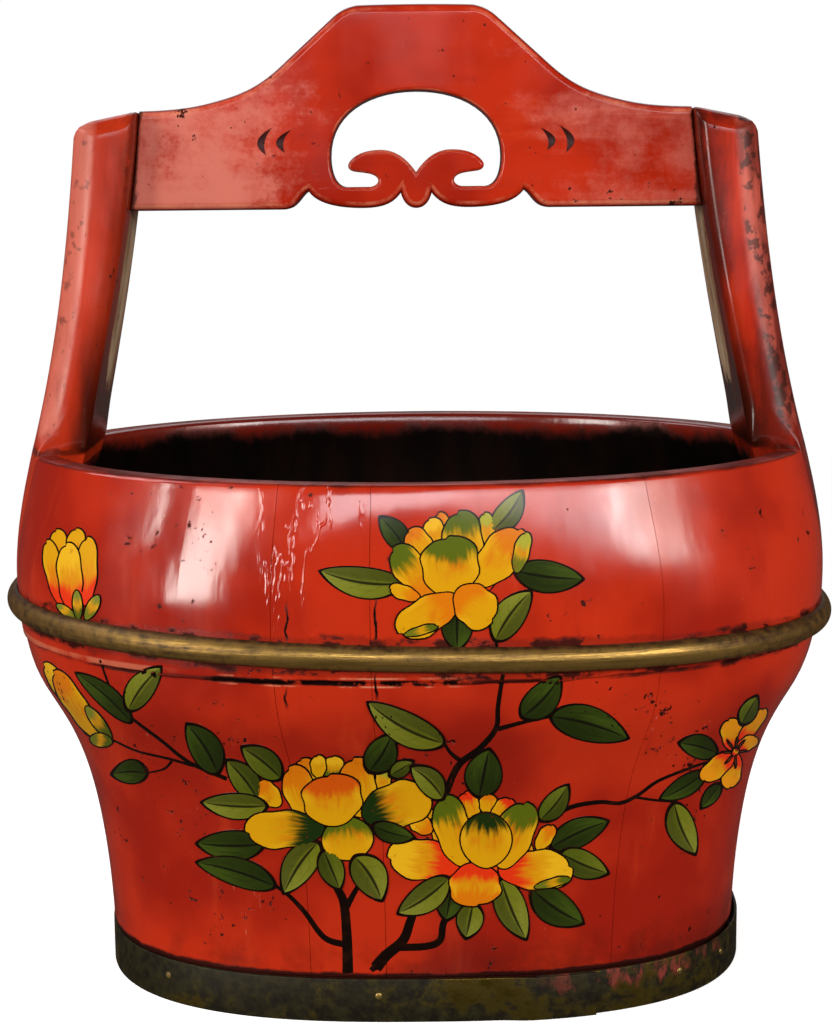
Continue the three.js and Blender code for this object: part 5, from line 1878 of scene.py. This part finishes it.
def paint_base(name):
    """A paint with its places across and along a shape, its streaks and its two colours."""
    paint = Finish(name)
    place = paint.named("at", "Vector")
    across = paint.part(place, "X")
    along = paint.part(place, "Y")
    streaks = brush_streaks(paint, place)
    return paint, across, along, streaks, paint.named("root", "Color"), paint.named("end", "Color")


def finish_paint(paint, colour):
    specks = paint.noise(150.0, 4.0, 0.65)
    worn = paint.ramp(specks, 0.66, 0.74) * 0.4
    colour = paint.blend(worn, colour, DEEP_RED)
    ripple = paint.noise(24.0, 2.0, 0.5, stretch=(1, 1, 0.45)) * 0.0008 + specks * 0.00004
    return paint.done(colour, 0.14 + specks * 0.1, paint.bump(ripple, 1.0, 0.7), gloss=0.35)


def leaf_paint():
    paint, across, along, streaks, root, end = paint_base("leaf_paint")
    colour = paint.blend(paint.ramp(along + (streaks - 0.5) * 1.2, 0.1, 1.0), root, end)
    shaded = paint.ramp(across + (streaks - 0.5) * 0.9, -0.25, 0.4) * 0.62
    colour = paint.blend(shaded, colour, linear(26, 34, 8))
    width = paint.size_of(across)
    rib = paint.ramp(width, 0.13, 0.06) * paint.ramp(along, 1.0, 0.92)
    slant = along * 26.0 - width * 8.0
    vein = paint.add("ShaderNodeMath", {"operation": "SINE"}, {0: slant + streaks * 5.0})
    veins = paint.ramp(vein, 0.9, 0.99) * paint.ramp(width, 0.9, 0.4) * 0.22
    colour = paint.blend(paint.most(rib * 0.9, veins), colour, linear(16, 14, 7))
    return finish_paint(paint, colour)


def petal_paint():
    paint, across, along, streaks, root, end = paint_base("petal_paint")
    width = paint.size_of(across)
    dabs = paint.noise(70.0, 3.0, 0.6)
    flow = along + (streaks - 0.5) * 0.45 + (dabs - 0.5) * 0.35 - width * 0.1
    brushed = paint.most(paint.ramp(streaks, 0.46, 0.7), paint.ramp(dabs, 0.48, 0.64))
    colour = paint.blend(0.15, linear(*SUN), paint.blend(0.5, root, end))
    colour = paint.blend(brushed * paint.ramp(width, 1.0, 0.3) * 0.5, colour, linear(*COPPER))
    edge = paint.ramp(width + (dabs - 0.5) * 0.5, 0.6, 0.9) * 0.5
    colour = paint.blend(edge, colour, linear(*GOLD))
    colour = paint.blend(paint.ramp(flow, 0.5, 0.2), colour, root)
    colour = paint.blend(paint.ramp(flow, 0.52, 0.76), colour, end)
    return finish_paint(paint, colour)


def line_paint():
    paint = Finish("line_paint")
    thin = paint.noise(120.0, 4.0, 0.6)
    colour = paint.blend(paint.ramp(thin, 0.5, 0.85), linear(16, 6, 3), linear(50, 20, 8))
    return finish_paint(paint, colour)


paints = {"leaf": leaf_paint(), "petal": petal_paint(), "line": line_paint()}
print("paints", [m.name for m in paints.values()])

# %% [markdown]
# To put the painting on the bucket it is laid on an imagined sheet of paper in front of the
# camera, and thrown from there on to the wall: a Raycast node follows each point's line of
# sight to the wall and sets it down there, a hair above the lacquer. A point with side 1 is on
# top of the paint and one with side 0 just inside the wall, so every brush stroke is a thin
# closed slab, and later strokes lie higher than earlier ones, as paint does.

# %% The wall to paint on
WALL_COLUMNS = 480


def wall_form():
    """A plain skin of the outer wall that catches the paint. It is taken away afterwards."""
    levels = [level for level in LEVELS if level[0] >= OVER_BAND]
    angles = [2 * math.pi * k / WALL_COLUMNS for k in range(WALL_COLUMNS)]
    points = [tuple(outer_point(angle, z, inset) * MM) for z, inset, _ in levels for angle in angles]
    mesh = bpy.data.meshes.new("wall_form")
    mesh.from_pydata(points, [], ring_faces(len(levels), WALL_COLUMNS))
    return new_object("wall_form", mesh)


catcher = wall_form()
bpy.context.view_layer.update()
print("wall form", len(catcher.data.polygons), "faces")

# %% Trees that throw shapes and strokes on to the wall
LIFT = 0.03 * MM
LAYER_STEP = 0.016 * MM
SINK = 0.06 * MM
SIGHT_LENGTH = 3.0


def thrown(tree, geometry, side, layer):
    """Sets each point down where its line of sight meets the wall."""
    relative = {"transform_space": "RELATIVE"}
    wall = tree.add("GeometryNodeObjectInfo", relative, {"Object": tree.given("Wall")}, "Geometry")
    sight = tree.vector_sum("NORMALIZE", tree.position())
    ray = {"Target Geometry": wall, "Source Position": (0.0, 0.0, 0.0), "Ray Direction": sight,
           "Ray Length": SIGHT_LENGTH}
    hit = tree.add("GeometryNodeRaycast", {}, ray, "Hit Position")
    above = tree.sum("MULTIPLY", side, tree.sum("MULTIPLY_ADD", layer, LAYER_STEP, LIFT))
    below = tree.sum("MULTIPLY", tree.sum("SUBTRACT", 1.0, side), SINK)
    push = tree.scaled(hit.node.outputs["Hit Normal"], tree.sum("SUBTRACT", above, below))
    place = tree.vector_sum("ADD", hit, push)
    sockets = {0: geometry, "Selection": hit.node.outputs["Is Hit"], "Position": place}
    return tree.add("GeometryNodeSetPosition", {}, sockets)


def bend_and_grow(tree, turn):
    """How far each point of a shape moves: in a bow along it, and back by half of its growth."""
    sine = tree.sum("SINE", turn)
    cosine = tree.sum("COSINE", turn)
    along = tree.part(tree.named("at", "FLOAT_VECTOR"), "Y")
    arch = tree.sum("MULTIPLY", tree.sum("MULTIPLY", along, 4.0), tree.sum("SUBTRACT", 1.0, along))
    bow = tree.scaled(tree.vector(cosine, sine), tree.sum("MULTIPLY", arch, tree.named("bend")))
    lengthwise = tree.vector(tree.sum("MULTIPLY", sine, -1.0), cosine)
    back = tree.scaled(lengthwise, tree.sum("MULTIPLY", tree.given("Grow along"), -0.5))
    return tree.vector_sum("ADD", bow, back)


def shape_tree():
    """Stands a brush shape on each point, bends it, and throws it on to the wall."""
    tree = Tree("thrown_shapes", [("Shape", "Object"), ("Wall", "Object"), ("Grow", "Float"),
                                  ("Grow along", "Float"), ("Lifted", "Float")])
    turn = tree.named("turn")
    shape = tree.add("GeometryNodeObjectInfo", {}, {"Object": tree.given("Shape")}, "Geometry")
    wide = tree.sum("ADD", tree.named("width"), tree.given("Grow"))
    long = tree.sum("ADD", tree.named("length"), tree.given("Grow along"))
    rotation = tree.add("FunctionNodeEulerToRotation", {}, {0: tree.vector(0.0, 0.0, turn)})
    stood = {"Points": tree.given("Geometry"), "Instance": shape, "Rotation": rotation,
             "Scale": tree.vector(wide, long, 1.0)}
    shapes = tree.add("GeometryNodeInstanceOnPoints", {}, stood)
    real = tree.add("GeometryNodeRealizeInstances", {}, {0: shapes})
    curved = tree.add("GeometryNodeSetPosition", {}, {0: real, "Offset": bend_and_grow(tree, turn)})
    layer = tree.sum("ADD", tree.named("layer"), tree.given("Lifted"))
    tree.finish_with(thrown(tree, curved, tree.named("side"), layer))
    return tree


def stroke_tree():
    """Gives each path a round section as wide as the stroke, and throws it on to the wall."""
    tree = Tree("thrown_strokes", [("Wall", "Object"), ("Smooth step", "Float")])
    path = tree.add("GeometryNodeMeshToCurve", {}, {0: tree.given("Geometry")})
    smooth = tree.add("GeometryNodeCurveSplineType", {"spline_type": "CATMULL_ROM"}, {0: path})
    steps = {0: smooth, "Length": tree.given("Smooth step")}
    fine = tree.add("GeometryNodeResampleCurve", {"mode": "LENGTH"}, steps)
    section = tree.add("GeometryNodeCurvePrimitiveCircle", {}, {"Resolution": 8, "Radius": 1.0})
    ends = {"Curve": fine, "Profile Curve": section, "Scale": tree.named("half_width"), "Fill Caps": True}
    swept = tree.add("GeometryNodeCurveToMesh", {}, ends)
    depth = tree.part(tree.position(), "Z")
    side = tree.sum("GREATER_THAN", depth, -PAPER_DISTANCE + PIXEL / 10)
    tree.finish_with(thrown(tree, swept, side, 1.0))
    return tree


shapes_in_a_tree = shape_tree()
strokes_in_a_tree = stroke_tree()
print("paint trees ready")

# %% Throw the painting on to the wall
OUTLINE = 1.9
FILL_SHRINK = -1.3
LEAF_ENDS = 2.4
FIRST_LAYER = 3
LAYERS_EACH = 2
PAINT_WELD = 2e-6
PAINT_SLIVER = 1e-6
PAINT_CREASE = 50
STROKE_STEP = 3 * PIXEL


def on_paper(pixel):
    """A pixel of the photograph as a point on the paper, in the camera's own space."""
    return ((pixel[0] - PICTURE[0] / 2) * PIXEL, (PICTURE[1] / 2 - pixel[1]) * PIXEL, -PAPER_DISTANCE)


def shapes_carrier(name, shapes):
    points = [on_paper(s["base"]) for s in shapes]
    spans = [(s["tip"][0] - s["base"][0], s["base"][1] - s["tip"][1]) for s in shapes]
    numbers = {
        "turn": [math.atan2(-dx, dy) for dx, dy in spans],
        "length": [math.hypot(dx, dy) * PIXEL for dx, dy in spans],
        "width": [s["width"] * PIXEL for s in shapes],
        "bend": [s["bend"] * PIXEL for s in shapes],
        "layer": [s["layer"] for s in shapes],
    }
    colours = {"root": [linear(*s["root"]) for s in shapes], "end": [linear(*s["end"]) for s in shapes]}
    carrier = carrier_of(name, points, numbers=numbers, colours=colours)
    carrier.matrix_world = camera.matrix_world
    bpy.context.view_layer.update()
    return carrier


def set_down(name, mesh):
    """Brings a thrown mesh into the object's frame, closes it and shows it."""
    mesh.transform(camera.matrix_world)
    show(name, smoothed(cleaned(mesh, PAINT_WELD, PAINT_SLIVER), PAINT_CREASE), [])


for group in shape_groups.values():
    for order, shape in enumerate(group):
        shape["layer"] = LAYERS_EACH * order + FIRST_LAYER
brushes = {"leaf": (leaf_shape, paints["leaf"], LEAF_ENDS), "petal": (petal_shape, paints["petal"], 1.0),
           "pointed": (pointed_shape, paints["petal"], 1.0)}
for group_name, group in shape_groups.items():
    for kind, (brush, paint, ends) in brushes.items():
        chosen = [shape for shape in group if shape["kind"] == kind]
        if not chosen:
            continue
        for run_name, grow, lifted, material in (("line", OUTLINE, 0.0, paints["line"]),
                                                 ("fill", FILL_SHRINK, 1.0, paint)):
            mesh = shapes_in_a_tree.run(
                shapes_carrier("paper", chosen), shape=brush, wall=catcher, grow=grow * PIXEL,
                grow_along=grow * ends * PIXEL, lifted=lifted, material=material)
            set_down(f"painted_{group_name}_{kind}_{run_name}", mesh)

bough_points = []
bough_edges = []
bough_widths = []
for one_bough in boughs:
    course = one_bough["course"]
    base = len(bough_points)
    for k, pixel in enumerate(course):
        bough_points.append(on_paper(pixel))
        share = k / (len(course) - 1)
        bough_widths.append(mix(*one_bough["widths"], share) * PIXEL / 2)
        if k:
            bough_edges.append((base + k - 1, base + k))
carrier = carrier_of("bough_paths", bough_points, bough_edges, {"half_width": bough_widths})
carrier.matrix_world = camera.matrix_world
bpy.context.view_layer.update()
bough_mesh = strokes_in_a_tree.run(carrier, wall=catcher, smooth_step=STROKE_STEP, material=paints["line"])
set_down("painted_boughs", bough_mesh)
for helper in (catcher, leaf_shape, petal_shape, pointed_shape):
    bpy.data.objects.remove(helper)
